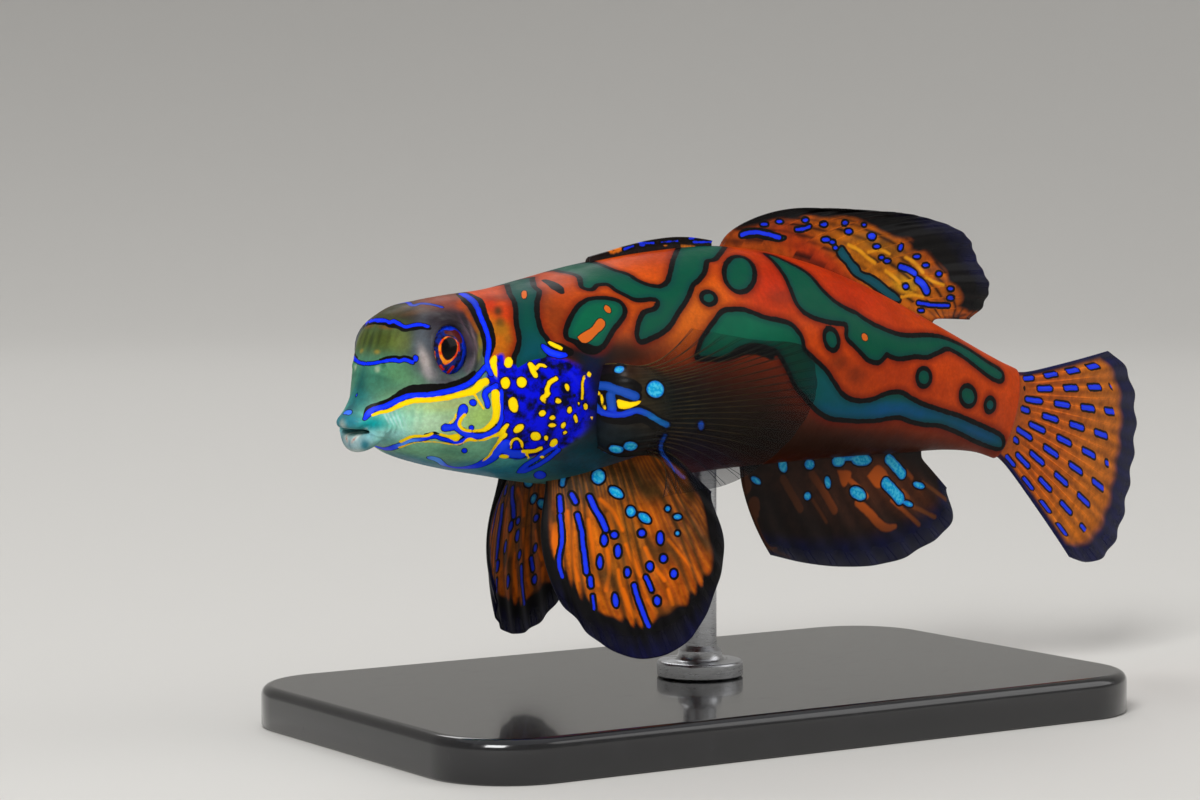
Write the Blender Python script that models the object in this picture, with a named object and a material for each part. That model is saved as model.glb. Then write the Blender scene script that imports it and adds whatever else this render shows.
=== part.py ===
"""A mandarinfish at life size, as a still museum model held over a plain display stand.

Frame: +Z up, the head points to -X, the fish's left side faces -Y. The origin is the
centre of the underside of the stand's base. Units are metres.

The fish is designed straight, in its own coordinates: s runs from the lips to the tail along
the spine, y across (left is negative) and z up. The function posed() then bends all of it
along one curved spine.
"""

import math

import bmesh
import bpy
import numpy as np

MM = 0.001
PERCENT = 0.01

# Driving dimensions
STANDARD_LENGTH = 50.0 * MM  # from the lips to the root of the tail fin
SPINE_HEIGHT = 21.5 * MM  # of the middle of the spine over the underside of the base
GAP = 0.3 * MM  # left between neighbouring pieces

# Pose: the spine's direction in degrees, at the lips and at the root of the tail fin
HEAD_YAW = 9.0  # the head turns to the fish's left
TAIL_YAW = 9.0  # the tail turns to its right
HEAD_PITCH = 1.0  # the head points down
TAIL_PITCH = 19.0  # the tail hangs down

# Body rows in percent of the standard length: distance from the lips, how far the row's
# sides lie behind that, level of the widest point, height above it, depth below it, half
# width, squareness above and below
BODY_ROWS = (
    (2.4, 1.2, -5.9, 0.1, 0.1, 1.5, 2.0, 2.0),
    (1.1, 1.2, -5.9, 0.3, 0.3, 2.1, 2.0, 2.0),
    (0.0, 1.2, -5.9, 0.6, 0.7, 2.5, 2.0, 2.0),
    (-0.3, 1.2, -5.9, 1.1, 1.4, 2.8, 2.0, 2.0),
    (-0.1, 1.2, -5.9, 1.8, 2.1, 3.1, 2.0, 2.0),
    (0.5, 1.1, -5.9, 2.4, 2.5, 3.4, 2.0, 2.0),
    (1.3, 1.0, -5.8, 2.8, 2.4, 3.5, 2.0, 2.0),
    (2.2, 0.8, -5.4, 3.3, 1.9, 3.7, 2.0, 2.0),
    (3.3, 0.5, -4.8, 7.0, 2.4, 4.3, 2.3, 2.1),
    (4.9, 0.2, -4.2, 10.2, 3.8, 5.6, 2.3, 2.2),
    (7.4, 0.0, -3.7, 11.4, 5.5, 7.1, 2.2, 2.3),
    (10.5, 0.0, -3.4, 11.7, 6.8, 8.4, 1.9, 2.4),
    (14.5, 0.0, -3.1, 11.9, 8.1, 9.7, 1.75, 2.5),
    (20.0, 0.0, -2.7, 12.0, 9.6, 11.5, 1.8, 2.5),
    (26.0, 0.0, -2.2, 12.6, 11.2, 12.6, 2.0, 2.4),
    (33.0, 0.0, -1.5, 13.4, 12.2, 12.4, 2.0, 2.2),
    (42.0, 0.0, -0.8, 14.0, 12.8, 11.4, 2.0, 2.1),
    (52.0, 0.0, -0.2, 14.0, 12.9, 10.0, 2.0, 2.1),
    (62.0, 0.0, 0.1, 12.7, 12.4, 8.4, 2.0, 2.1),
    (72.0, 0.0, 0.2, 10.5, 11.2, 6.8, 2.0, 2.1),
    (82.0, 0.0, 0.0, 8.3, 9.3, 5.2, 2.0, 2.1),
    (90.0, 0.0, 0.0, 6.8, 7.4, 3.9, 2.0, 2.1),
    (96.0, 0.0, 0.0, 6.1, 6.3, 2.9, 2.0, 2.0),
    (100.0, 0.0, 0.0, 6.0, 6.1, 2.2, 2.0, 2.0),
)
LIP_ROWS = 8  # the first rows shape the lips, from inside the mouth outwards
JAW_BACK = 1.0  # percent, how far the lower lip lies behind the upper one
JAW_END = 10  # row at which the lower jaw is level again

# Joints between the nodes of flesh, in percent of the standard length
GILL_COVER_TOP = 22.0
GILL_COVER_MIDDLE = 26.0  # where the gill cover reaches furthest back, on the flank
STALK_START = 88.0

# Eye: place of the middle of the mound of skin round it, radii of the mound and the ball
EYE_S, EYE_Y, EYE_Z = 10.0 * PERCENT, 3.75 * PERCENT, 2.7 * PERCENT
MOUND_RADIUS = 2.2 * MM
EYE_RADIUS = 1.6 * MM
EYE_OUT = 0.5 * MM  # from the middle of the mound to the middle of the ball
LID_RADIUS = 1.62 * MM  # of the fold of skin round the ball
LID_THICKNESS = 0.56 * MM
LID_OUT = 1.5 * MM  # from the middle of the mound to the fold
EYE_OPENING = 1.4 * MM  # radius

NOSTRIL_S, NOSTRIL_ANGLE = 3.4, 36.0  # percent of the length, degrees down from the back
NOSTRIL_RADIUS = 0.22 * MM
NOSTRIL_DEPTH = 0.5 * MM
NOSTRIL_RIM = 0.36 * MM  # radius of the raised rim, and its thickness
NOSTRIL_RIM_THICKNESS = 0.34 * MM

# Fins, thickness
MEMBRANE = 0.5 * MM
RAY = 0.85 * MM  # at the root
MARGIN = 0.3 * MM  # at the tips
LOBE = 1.5 * MM  # of the fleshy root of the pectoral fins
LOBE_OUT = 0.95 * MM  # how far the lobe stands off the flank
LOBE_SHARE = 0.42  # of the length of the rays

# First dorsal fin: four spines folded along the back
FIRST_DORSAL_START, FIRST_DORSAL_END = 34.0, 51.2  # percent
FIRST_DORSAL_SPINES = 4
FIRST_DORSAL_HEIGHT = 0.6 * MM

# Second dorsal fin, half folded, each row: root in percent of the length, slope of the ray
# over the spine's direction in degrees, length and upward bow of the ray in millimetres
SECOND_DORSAL = (
    (52.4, 17.0, 8.1, 0.7),
    (57.0, 19.5, 8.8, 0.6),
    (61.8, 22.0, 9.5, 0.5),
    (66.4, 23.5, 9.9, 0.4),
    (71.0, 23.0, 9.5, 0.3),
    (75.4, 19.5, 8.4, 0.2),
    (79.6, 16.0, 6.7, 0.1),
    (84.0, 11.0, 4.2, 0.0),
)
# Anal fin, in the same way, with the slope and the bow down from the spine's direction
ANAL = (
    (56.5, 60.0, 5.9, 0.4),
    (61.5, 52.0, 7.3, 0.4),
    (66.5, 45.0, 8.3, 0.3),
    (71.5, 38.0, 8.8, 0.3),
    (76.5, 32.0, 8.3, 0.2),
    (81.5, 27.0, 7.2, 0.1),
    (86.0, 24.0, 4.5, 0.0),
)
PLEATS = 0.25 * MM  # of the half folded dorsal fin, to each side

# Tail fin: spread of its rays in degrees, lengths of the middle and outer rays
CAUDAL_RAYS = 10
CAUDAL_SPREAD = 26.0
CAUDAL_MIDDLE, CAUDAL_OUTER = 15.5 * MM, 10.5 * MM
CAUDAL_ROOT = 5.0 * PERCENT  # half height

# Pectoral fin, from the upper ray to the lowest one, each row: angle of the root round the
# body in degrees, then the tip from the root and the bow of the ray, backwards and upwards,
# in millimetres
PECTORAL_S = 27.8  # percent, of the root
PECTORAL_RAYS = 20
PECTORAL_SPREAD = 13.0  # degrees out from the flank
PECTORAL = (
    (77.0, 4.6, 1.7, 0.5, -0.9),
    (83.0, 8.3, 1.8, 0.5, -0.6),
    (89.0, 11.3, 2.2, 0.3, -0.4),
    (95.0, 12.2, 1.2, 0.2, -0.1),
    (101.0, 11.8, 0.1, 0.3, 0.2),
    (108.0, 10.2, -1.1, 0.4, 0.5),
    (115.0, 7.7, -2.1, 0.8, 0.9),
    (122.0, 4.5, -3.2, 2.0, 0.9),
)
# Pelvic fin, from the front ray to the rear edge of its membrane, each row: root in percent
# of the length and in degrees round the body, then the tip from the root backwards, outwards
# and downwards in millimetres, then the bow of the ray backwards
PELVIC_RAYS = 5
PELVIC_LIFT = 0.5 * MM  # from the skin to the middle of the root's edge
PELVIC = (
    (25.2, 163.0, 0.1, 0.9, 6.2, -0.8),
    (26.6, 154.0, 0.9, 2.0, 8.9, -0.6),
    (29.4, 145.0, 1.8, 2.6, 10.2, -0.4),
    (32.6, 139.0, 2.8, 3.0, 9.5, -0.2),
    (36.0, 134.0, 3.2, 2.6, 6.7, 0.0),
    (38.6, 130.0, 3.2, 1.6, 3.2, 0.0),
)

# Display stand
BASE_LENGTH, BASE_WIDTH, BASE_THICKNESS = 48.0 * MM, 29.0 * MM, 2.5 * MM
BASE_CORNER = 5.0 * MM
BASE_EDGE = 0.6 * MM
ROD_S = 50.0  # percent of the length, where the rod meets the belly
ROD_RADIUS = 1.0 * MM
ROD_FOOT_RADIUS, ROD_FOOT_HEIGHT = 2.6 * MM, 1.0 * MM


def smooth_rows(rows, at):
    """The rows read at fractional row numbers, on one smooth curve through them."""
    rows = np.asarray(rows, float)
    at = np.clip(np.asarray(at, float), 0.0, len(rows) - 1.0)
    first = np.minimum(at.astype(int), len(rows) - 2)
    t = (at - first)[..., None]
    slope = np.gradient(rows, axis=0)
    a, b = rows[first], rows[first + 1]
    da, db = slope[first], slope[first + 1]
    return (
        (2 * t**3 - 3 * t**2 + 1) * a
        + (t**3 - 2 * t**2 + t) * da
        + (3 * t**2 - 2 * t**3) * b
        + (t**3 - t**2) * db
    )


def spine(samples=401, reach=1.6):
    """Points and directions along the bent spine, for distances from -0.3 to reach lengths."""
    length = STANDARD_LENGTH
    s = np.linspace(-0.3 * length, reach * length, samples)
    middle = 0.5 * length
    ahead = np.clip((middle - s) / middle, 0.0, 1.0)
    behind = np.clip((s - middle) / middle, 0.0, 1.6)
    yaw = np.radians(-HEAD_YAW * ahead**1.5 - TAIL_YAW * behind**2)
    pitch = np.radians(HEAD_PITCH * ahead**1.5 - TAIL_PITCH * np.minimum(behind, 1.0))
    along = np.stack(
        [np.cos(pitch) * np.cos(yaw), -np.cos(pitch) * np.sin(yaw), np.sin(pitch)], 1
    )
    step = s[1] - s[0]
    points = np.vstack([np.zeros(3), np.cumsum((along[1:] + along[:-1]) / 2 * step, 0)])
    centre = [np.interp(middle, s, points[:, i]) for i in range(3)]
    points += np.array([0.0, 0.0, SPINE_HEIGHT]) - centre
    return s, points, yaw, pitch


SPINE_S, SPINE_POINTS, SPINE_YAW, SPINE_PITCH = spine()


def posed(points):
    """Points of the straight fish (s, y, z), in metres, bent along the spine."""
    points = np.asarray(points, float)
    s = points[..., 0]
    centre = np.stack([np.interp(s, SPINE_S, SPINE_POINTS[:, i]) for i in range(3)], -1)
    yaw = np.interp(s, SPINE_S, SPINE_YAW)
    pitch = np.interp(s, SPINE_S, SPINE_PITCH)
    across = np.stack([np.sin(yaw), np.cos(yaw), 0 * yaw], -1)
    up = np.stack(
        [-np.sin(pitch) * np.cos(yaw), np.sin(pitch) * np.sin(yaw), np.cos(pitch)], -1
    )
    return centre + points[..., 1:2] * across + points[..., 2:3] * up


def power(value, exponent):
    return np.sign(value) * np.abs(value) ** exponent


def body_point(row, theta):
    """Points of the skin in the straight fish. row runs along BODY_ROWS, theta round the body
    from the back (0) over the left flank to the belly (pi)."""
    row, theta = np.broadcast_arrays(np.asarray(row, float), np.asarray(theta, float))
    s, back, middle, above, below, half, square_up, square_down = np.moveaxis(
        smooth_rows(BODY_ROWS, row), -1, 0
    )
    cosine, sine = np.cos(theta), np.sin(theta)
    upper = cosine > 0
    exponent = 2.0 / np.where(upper, square_up, square_down)
    height = np.where(upper, above, below)
    y = -half * power(sine, exponent)
    z = middle + height * power(cosine, exponent)
    jaw = JAW_BACK * np.clip((JAW_END - row) / 3.0, 0.0, 1.0) * (1.0 - cosine) / 2.0
    points = np.stack([s + back * sine**2 + jaw, y, z], -1) * PERCENT * STANDARD_LENGTH
    return swell_eyes(points)


def body_normal(row, theta):
    """Outward unit normals of the skin in the straight fish."""
    d = 0.02
    along = body_point(row + d, theta) - body_point(row - d, theta)
    around = body_point(row, theta + d) - body_point(row, theta - d)
    normal = np.cross(around, along)
    length = np.linalg.norm(normal, axis=-1, keepdims=True)
    return normal / np.maximum(length, 1e-12)


def eye_centre(side):
    """Middle of the mound; side is -1 for the left eye and 1 for the right one."""
    return np.array([EYE_S, side * EYE_Y, EYE_Z]) * STANDARD_LENGTH


def swell_eyes(points):
    """Pushes the skin out over the two round mounds that hold the eyes."""
    for side in (-1, 1):
        away = points - eye_centre(side)
        distance = np.linalg.norm(away, axis=-1, keepdims=True)
        sharp = 9.0 / MOUND_RADIUS
        swollen = np.logaddexp(distance * sharp, MOUND_RADIUS * sharp) / sharp
        points = eye_centre(side) + away * swollen / np.maximum(distance, 1e-9)
    return points


def row_at(s):
    """Row number behind the lips where the body is s percent of the length from the lips."""
    rows = np.linspace(LIP_ROWS, len(BODY_ROWS) - 1.0, 800)
    return np.interp(s, smooth_rows(BODY_ROWS, rows)[:, 0], rows)


def strip(first, second, closed):
    """Triangles between two rows of vertex numbers."""
    faces = []
    count = len(first) if closed else len(first) - 1
    for i in range(count):
        j = (i + 1) % len(first)
        faces += [(first[i], second[i], second[j]), (first[i], second[j], first[j])]
    return faces


def make_object(name, vertices, faces, material):
    """An object from points in the room and faces, turned outwards."""
    mesh = bpy.data.meshes.new(name)
    mesh.from_pydata([tuple(v) for v in np.asarray(vertices)], [], faces)
    work = bmesh.new()
    work.from_mesh(mesh)
    bmesh.ops.recalc_face_normals(work, faces=work.faces)
    if work.calc_volume(signed=True) < 0:
        bmesh.ops.reverse_faces(work, faces=work.faces)
    work.to_mesh(mesh)
    work.free()
    mesh.materials.append(material)
    mesh.shade_smooth()
    obj = bpy.data.objects.new(name, mesh)
    bpy.context.scene.collection.objects.link(obj)
    return obj


def material(name, colour, roughness=0.4, metallic=0.0):
    made = bpy.data.materials.new(name)
    made.use_nodes = True
    shader = made.node_tree.nodes["Principled BSDF"]
    shader.inputs["Base Color"].default_value = (*colour, 1.0)
    shader.inputs["Roughness"].default_value = roughness
    shader.inputs["Metallic"].default_value = metallic
    return made


def loft(name, rings, skin, poles=None):
    """A closed body through rings of points in the straight fish, with a fan over each end."""
    rings = np.asarray(rings)
    count, around = rings.shape[:2]
    if poles is None:
        poles = [rings[0].mean(0), rings[-1].mean(0)]
    vertices = posed(np.vstack([rings.reshape(-1, 3), poles]))
    numbers = np.arange(count * around).reshape(count, around)
    faces = []
    for i in range(count - 1):
        faces += strip(numbers[i], numbers[i + 1], closed=True)
    for tip, ring in ((count * around, numbers[0]), (count * around + 1, numbers[-1])):
        faces += [(tip, ring[i], ring[(i + 1) % around]) for i in range(around)]
    return make_object(name, vertices, faces, skin)


def gill_cover(theta, shift=0.0):
    """Where the head ends, in percent of the length, at an angle round the body."""
    reach = GILL_COVER_MIDDLE - GILL_COVER_TOP
    return GILL_COVER_TOP + reach * np.sin(theta) ** 2 + shift


def angles(around):
    return np.linspace(0.0, 2.0 * math.pi, around, endpoint=False)


def body_rings(start, end, count, around):
    """Rings of the skin between two joints, given as functions of the angle."""
    theta = angles(around)
    share = np.linspace(0.0, 1.0, count)[:, None]
    rows = row_at(start(theta)) * (1.0 - share) + row_at(end(theta)) * share
    return body_point(rows, theta[None, :])


def make_head(skin, around=52, lip_count=15, count=25):
    theta = angles(around)
    lips = np.linspace(0.0, LIP_ROWS, lip_count, endpoint=False)[:, None]
    share = np.linspace(0.0, 1.0, count)[:, None]
    rows = LIP_ROWS + (row_at(gill_cover(theta)) - LIP_ROWS) * share
    rows = np.vstack([np.broadcast_to(lips, (lip_count, around)), rows])
    head = loft("head", body_point(rows, theta[None, :]), skin)
    for side in (-1, 1):
        middle, looking = eye_ball_centre(side), eye_axis(side)
        lid = eye_centre(side) + LID_OUT * looking
        join(head, fold("lid", lid, looking, LID_RADIUS, LID_THICKNESS, skin, 36, 8))
        cut(head, ball("socket", middle, EYE_RADIUS + GAP, skin))
        cut(head, tube("opening", middle, middle + MOUND_RADIUS * looking, EYE_OPENING, skin))
        nostril, out = nostril_place(side)
        reach = NOSTRIL_DEPTH * out
        join(head, fold("rim", nostril, out, NOSTRIL_RIM, NOSTRIL_RIM_THICKNESS, skin, 14, 6))
        cut(head, tube("nostril", nostril - reach, nostril + reach, NOSTRIL_RADIUS, skin, 12))
    return head


def eye_axis(side):
    """Where the eye looks: outwards, a little forwards and up."""
    looking = np.array([-0.16, side, 0.07])
    return looking / np.linalg.norm(looking)


def eye_ball_centre(side):
    return eye_centre(side) + EYE_OUT * eye_axis(side)


def nostril_place(side):
    """Where a nostril lies on the snout, and the way out of the skin there."""
    theta = math.radians(NOSTRIL_ANGLE) * -side
    row = row_at(NOSTRIL_S)
    return body_point(row, theta), body_normal(row, theta)


def across_axis(axis):
    """Two directions at right angles to an axis and to each other."""
    level = np.cross(axis, [0.0, 0.0, 1.0])
    level /= np.linalg.norm(level)
    return level, np.cross(level, axis)


def fold(name, centre, axis, radius, thickness, skin, around, sides):
    """A closed ring of skin round an axis."""
    level, upright = across_axis(axis)
    turn = angles(around)[:, None]
    out = np.cos(turn) * level + np.sin(turn) * upright
    vertices = []
    for angle in angles(sides):
        swell = math.cos(angle) * out + math.sin(angle) * axis
        vertices.append(centre + radius * out + 0.5 * thickness * swell)
    numbers = np.arange(sides * around).reshape(sides, around)
    faces = []
    for i in range(sides):
        faces += strip(numbers[i], numbers[(i + 1) % sides], closed=True)
    return make_object(name, posed(np.vstack(vertices)), faces, skin)


def ball(name, centre, radius, skin, around=22, rows=11):
    """A closed ball whose poles lie across the fish."""
    theta = angles(around)
    rings = []
    for i in range(1, rows):
        tilt = math.pi * i / rows
        ring = [np.sin(tilt) * np.cos(theta), 0 * theta + np.cos(tilt), np.sin(tilt) * np.sin(theta)]
        rings.append(centre + radius * np.stack(ring, -1))
    poles = [centre + radius * np.array([0.0, pole, 0.0]) for pole in (1.0, -1.0)]
    return loft(name, rings, skin, poles)


def tube(name, start, end, radius, skin, sides=24):
    """A closed straight tube in the straight fish."""
    level, upright = across_axis((end - start) / np.linalg.norm(end - start))
    turn = angles(sides)[:, None]
    ring = radius * (np.cos(turn) * level + np.sin(turn) * upright)
    return loft(name, [start + ring, end + ring], skin)


def combine(body, other, operation):
    """Joins the other shape to the body or takes it out of it, and removes the other shape."""
    step = body.modifiers.new(operation, "BOOLEAN")
    step.operation = operation
    step.object = other
    bpy.context.view_layer.update()
    evaluated = body.evaluated_get(bpy.context.evaluated_depsgraph_get())
    mesh = bpy.data.meshes.new_from_object(evaluated)
    body.modifiers.clear()
    body.data = mesh
    bpy.data.objects.remove(other)


def cut(body, cutter):
    combine(body, cutter, "DIFFERENCE")


def join(body, other):
    combine(body, other, "UNION")


def make_torso(skin, around=44, count=21):
    shift = GAP / STANDARD_LENGTH / PERCENT
    return loft(
        "torso",
        body_rings(
            lambda theta: gill_cover(theta, shift),
            lambda theta: np.full_like(theta, STALK_START),
            count,
            around,
        ),
        skin,
    )


def make_stalk(skin, around=32, count=6):
    shift = GAP / STANDARD_LENGTH / PERCENT
    return loft(
        "tail_stalk",
        body_rings(
            lambda theta: np.full_like(theta, STALK_START + shift),
            lambda theta: np.full_like(theta, 100.0),
            count,
            around,
        ),
        skin,
    )


def ray_columns(rays, steps):
    """Places across a fin, from 0 to 1, with a few steps between one ray and the next."""
    return np.linspace(0.0, 1.0, (rays - 1) * steps + 1)


def ridge(u, rays):
    """1 on the middle of a ray and 0 on the membrane between two rays."""
    return np.cos(math.pi * u * (rays - 1)) ** 2


def ray_thickness(rays):
    """Thickness of a sheet that is raised into a ridge along each ray."""

    def thickness(u, v):
        raised = RAY + (MARGIN - RAY) * v
        sunk = MEMBRANE + (MARGIN - MEMBRANE) * v
        return sunk + (raised - sunk) * ridge(u, rays)

    return thickness


def make_fin(name, surface, rays, thickness, skin, steps=4, rows=8, near_root=1.0):
    """A sheet of even triangles on both faces. surface(u, v) gives its middle in the straight
    fish: u from the first ray to the last one and v from the root to the tips. near_root over
    1 sets the rows closer to each other near the root."""
    rows_v = np.linspace(0.0, 1.0, rows) ** near_root
    u, v = np.meshgrid(ray_columns(rays, steps), rows_v, indexing="ij")
    middle = surface(u, v)
    d = 1e-3
    along = surface(u, v + d) - surface(u, v - d)
    across = surface(u + d, v) - surface(u - d, v)
    normal = np.cross(along, across)
    normal /= np.linalg.norm(normal, axis=-1, keepdims=True)
    half = 0.5 * thickness(u, v)[..., None] * normal
    count = u.size
    front = np.arange(count).reshape(u.shape)
    back = front + count
    faces = []
    for i in range(u.shape[0] - 1):
        faces += strip(front[i], front[i + 1], closed=False)
        faces += [face[::-1] for face in strip(back[i], back[i + 1], closed=False)]
    rim = [*front[:, 0], *front[-1, 1:], *front[-2::-1, -1], *front[0, -2:0:-1]]
    faces += strip(rim, [i + count for i in rim], closed=True)
    vertices = np.vstack([(middle + half).reshape(-1, 3), (middle - half).reshape(-1, 3)])
    return make_object(name, posed(vertices), faces, skin)


def unpaired_fin(table, edge):
    """The middle of a fin on the back (edge 1) or the belly (edge -1), from its rows."""
    theta = 0.0 if edge > 0 else math.pi

    def surface(u, v):
        s, slope, length, bow = np.moveaxis(smooth_rows(table, u * (len(table) - 1)), -1, 0)
        root = body_point(row_at(s), theta)
        root = root + np.array([0.0, 0.0, edge * GAP])
        slope = np.radians(slope)
        reach = length * MM * v
        arch = bow * MM * 4.0 * v * (1.0 - v)
        back = reach * np.cos(slope) - arch * np.sin(slope)
        up = reach * np.sin(slope) + arch * np.cos(slope)
        return root + np.stack([back, 0 * back, edge * up], -1)

    return surface


def second_dorsal(u, v):
    flat = unpaired_fin(SECOND_DORSAL, 1)(u, v)
    waves = np.sin(2.0 * math.pi * u * (len(SECOND_DORSAL) - 1) / 2.0)
    flat[..., 1] += PLEATS * waves * np.clip(v, 0.0, 1.0)
    return flat


def first_dorsal(u, v):
    """A low strip along the back, highest behind its middle, made by the folded spines."""
    s = FIRST_DORSAL_START + (FIRST_DORSAL_END - FIRST_DORSAL_START) * u
    root = body_point(row_at(s), 0.0) + np.array([0.0, 0.0, GAP])
    rise = 0.35 + 0.65 * np.sin(math.pi * np.clip(u, 0.0, 1.0) ** 1.3)
    height = FIRST_DORSAL_HEIGHT * rise * v
    return root + np.stack([0.6 * height, 0 * height, height], -1)


def caudal(u, v):
    angle = math.radians(CAUDAL_SPREAD) * (1.0 - 2.0 * u)
    rounding = np.abs(1.0 - 2.0 * u) ** 3.5
    length = CAUDAL_MIDDLE - (CAUDAL_MIDDLE - CAUDAL_OUTER) * rounding
    root_z = CAUDAL_ROOT * STANDARD_LENGTH * (1.0 - 2.0 * u)
    s = STANDARD_LENGTH + GAP + length * np.cos(angle) * v
    return np.stack([s, 0 * s, root_z + length * np.sin(angle) * v], -1)


def pectoral(side):
    """The middle of a pectoral fin. It leaves the flank at a right angle, on a fleshy lobe,
    and turns backwards."""

    def surface(u, v):
        theta, back, up, bow_back, bow_up = np.moveaxis(
            smooth_rows(PECTORAL, u * (len(PECTORAL) - 1)), -1, 0
        )
        theta = np.radians(theta)
        row = row_at(PECTORAL_S)
        off = GAP + LOBE_OUT * (1.0 - np.exp(-v / 0.05))
        root = body_point(row, theta) + off[..., None] * body_normal(row, theta)
        bow = 4.0 * v * (1.0 - v)
        far = v * (0.6 + 0.4 * v)
        s = (back * far + bow_back * bow) * MM
        z = (up * far + bow_up * bow) * MM
        out = np.tan(math.radians(PECTORAL_SPREAD)) * np.hypot(back, up) * far * MM
        fin = root + np.stack([s, -out, z], -1)
        return fin * np.array([1.0, -side, 1.0])

    return surface


def pectoral_thickness(u, v):
    """A thick fleshy lobe at the root, then fine rays."""
    lobe = np.clip(1.0 - v / LOBE_SHARE, 0.0, 1.0) ** 0.7
    edge = np.sin(math.pi * np.clip(u, 0.1, 0.9))
    thin = MEMBRANE + (MARGIN - MEMBRANE) * v
    grown = np.clip((v - 0.15) / 0.25, 0.0, 1.0)
    rays = (RAY - MEMBRANE) * (1.0 - v) * grown * ridge(u, PECTORAL_RAYS)
    return thin + rays + (LOBE - MEMBRANE) * lobe * edge


def pelvic(side):
    """The middle of a pelvic fin, its root just off the skin."""

    def surface(u, v):
        s, theta, back, out, down, bow = np.moveaxis(
            smooth_rows(PELVIC, u * (len(PELVIC) - 1)), -1, 0
        )
        theta = np.radians(theta)
        row = row_at(s)
        root = body_point(row, theta) + PELVIC_LIFT * body_normal(row, theta)
        arch = 4.0 * v * (1.0 - v)
        reach = np.stack([back * v + bow * arch, -out * v, -down * v], -1) * MM
        return (root + reach) * np.array([1.0, -side, 1.0])

    return surface


def make_base(finish):
    """A flat plate with rounded corners and a small bevel round its upper edge."""
    work = bmesh.new()
    bmesh.ops.create_cube(work, size=1.0)
    for vertex in work.verts:
        vertex.co.x *= BASE_LENGTH
        vertex.co.y *= BASE_WIDTH
        vertex.co.z = (vertex.co.z + 0.5) * BASE_THICKNESS
    upright = [e for e in work.edges if abs(e.verts[0].co.z - e.verts[1].co.z) > 1e-6]
    bmesh.ops.bevel(work, geom=upright, offset=BASE_CORNER, segments=6, affect="EDGES", profile=0.5)
    top = [e for e in work.edges if min(v.co.z for v in e.verts) > BASE_THICKNESS - 1e-6]
    bmesh.ops.bevel(work, geom=top, offset=BASE_EDGE, segments=2, affect="EDGES", profile=0.5)
    mesh = bpy.data.meshes.new("stand_base")
    work.to_mesh(mesh)
    work.free()
    mesh.materials.append(finish)
    base = bpy.data.objects.new("stand_base", mesh)
    bpy.context.scene.collection.objects.link(base)
    return base


def make_rod(finish, around=20):
    """A straight rod with a small foot, from the base up to the belly."""
    belly = posed(body_point(row_at(ROD_S), math.pi))
    rows = (
        (BASE_THICKNESS + GAP, ROD_FOOT_RADIUS),
        (BASE_THICKNESS + GAP + 0.6 * ROD_FOOT_HEIGHT, ROD_FOOT_RADIUS),
        (BASE_THICKNESS + GAP + ROD_FOOT_HEIGHT, 1.3 * ROD_RADIUS),
        (BASE_THICKNESS + GAP + 1.6 * ROD_FOOT_HEIGHT, ROD_RADIUS),
        (belly[2] - GAP, ROD_RADIUS),
    )
    turn = angles(around)
    rings = [
        np.stack([belly[0] + r * np.cos(turn), belly[1] + r * np.sin(turn), 0 * turn + z], -1)
        for z, r in rows
    ]
    numbers = np.arange(len(rows) * around).reshape(len(rows), around)
    faces = []
    for i in range(len(rows) - 1):
        faces += strip(numbers[i], numbers[i + 1], closed=True)
    faces += [tuple(numbers[0]), tuple(numbers[-1])]
    return make_object("stand_rod", np.vstack(rings), faces, finish)


def main():
    for obj in list(bpy.data.objects):
        bpy.data.objects.remove(obj)
    orange = material("flank", (0.62, 0.2, 0.03))
    face = material("face", (0.2, 0.42, 0.34))
    amber = material("amber fin", (0.55, 0.25, 0.03), 0.5)
    teal = material("teal fin", (0.02, 0.25, 0.22), 0.5)
    iris = material("eye", (0.02, 0.06, 0.4), 0.1)
    acrylic = material("stand", (0.03, 0.03, 0.035), 0.3)

    make_head(face)
    make_torso(orange)
    make_stalk(orange)
    for side, word in ((-1, "left"), (1, "right")):
        ball("eye_" + word, eye_ball_centre(side), EYE_RADIUS, iris)
        make_fin(
            "fin_pectoral_" + word,
            pectoral(side),
            PECTORAL_RAYS,
            pectoral_thickness,
            teal,
            steps=2,
            near_root=1.5,
        )
        branches = 2 * PELVIC_RAYS
        make_fin("fin_pelvic_" + word, pelvic(side), branches, ray_thickness(branches), amber)
    spines = FIRST_DORSAL_SPINES
    make_fin("fin_dorsal_first", first_dorsal, spines, ray_thickness(spines), amber, rows=3)
    for name, surface, rays, colour in (
        ("fin_dorsal_second", second_dorsal, len(SECOND_DORSAL), amber),
        ("fin_anal", unpaired_fin(ANAL, -1), len(ANAL), teal),
        ("fin_caudal", caudal, CAUDAL_RAYS, amber),
    ):
        make_fin(name, surface, rays, ray_thickness(rays), colour)
    make_base(acrylic)
    make_rod(acrylic)


if __name__ == "__main__":
    main()
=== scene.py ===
# %% [markdown]
# # A mandarinfish as a life-size museum model
# A mandarinfish is a reef fish about as long as a thumb. It has no scales: its thick skin is
# orange with dark-edged blue-green bands, and its face is drawn with thin electric blue lines.
# A maker of museum models casts the body, dips thin fins, and paints all of it by hand. This
# lesson does the same in Blender, round solids that already fix the sizes and the pose.

# %% The solids that everything is fitted to
import math

import bmesh
import bpy
import numpy as np
from mathutils import Matrix, Vector
from mathutils.bvhtree import BVHTree


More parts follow.
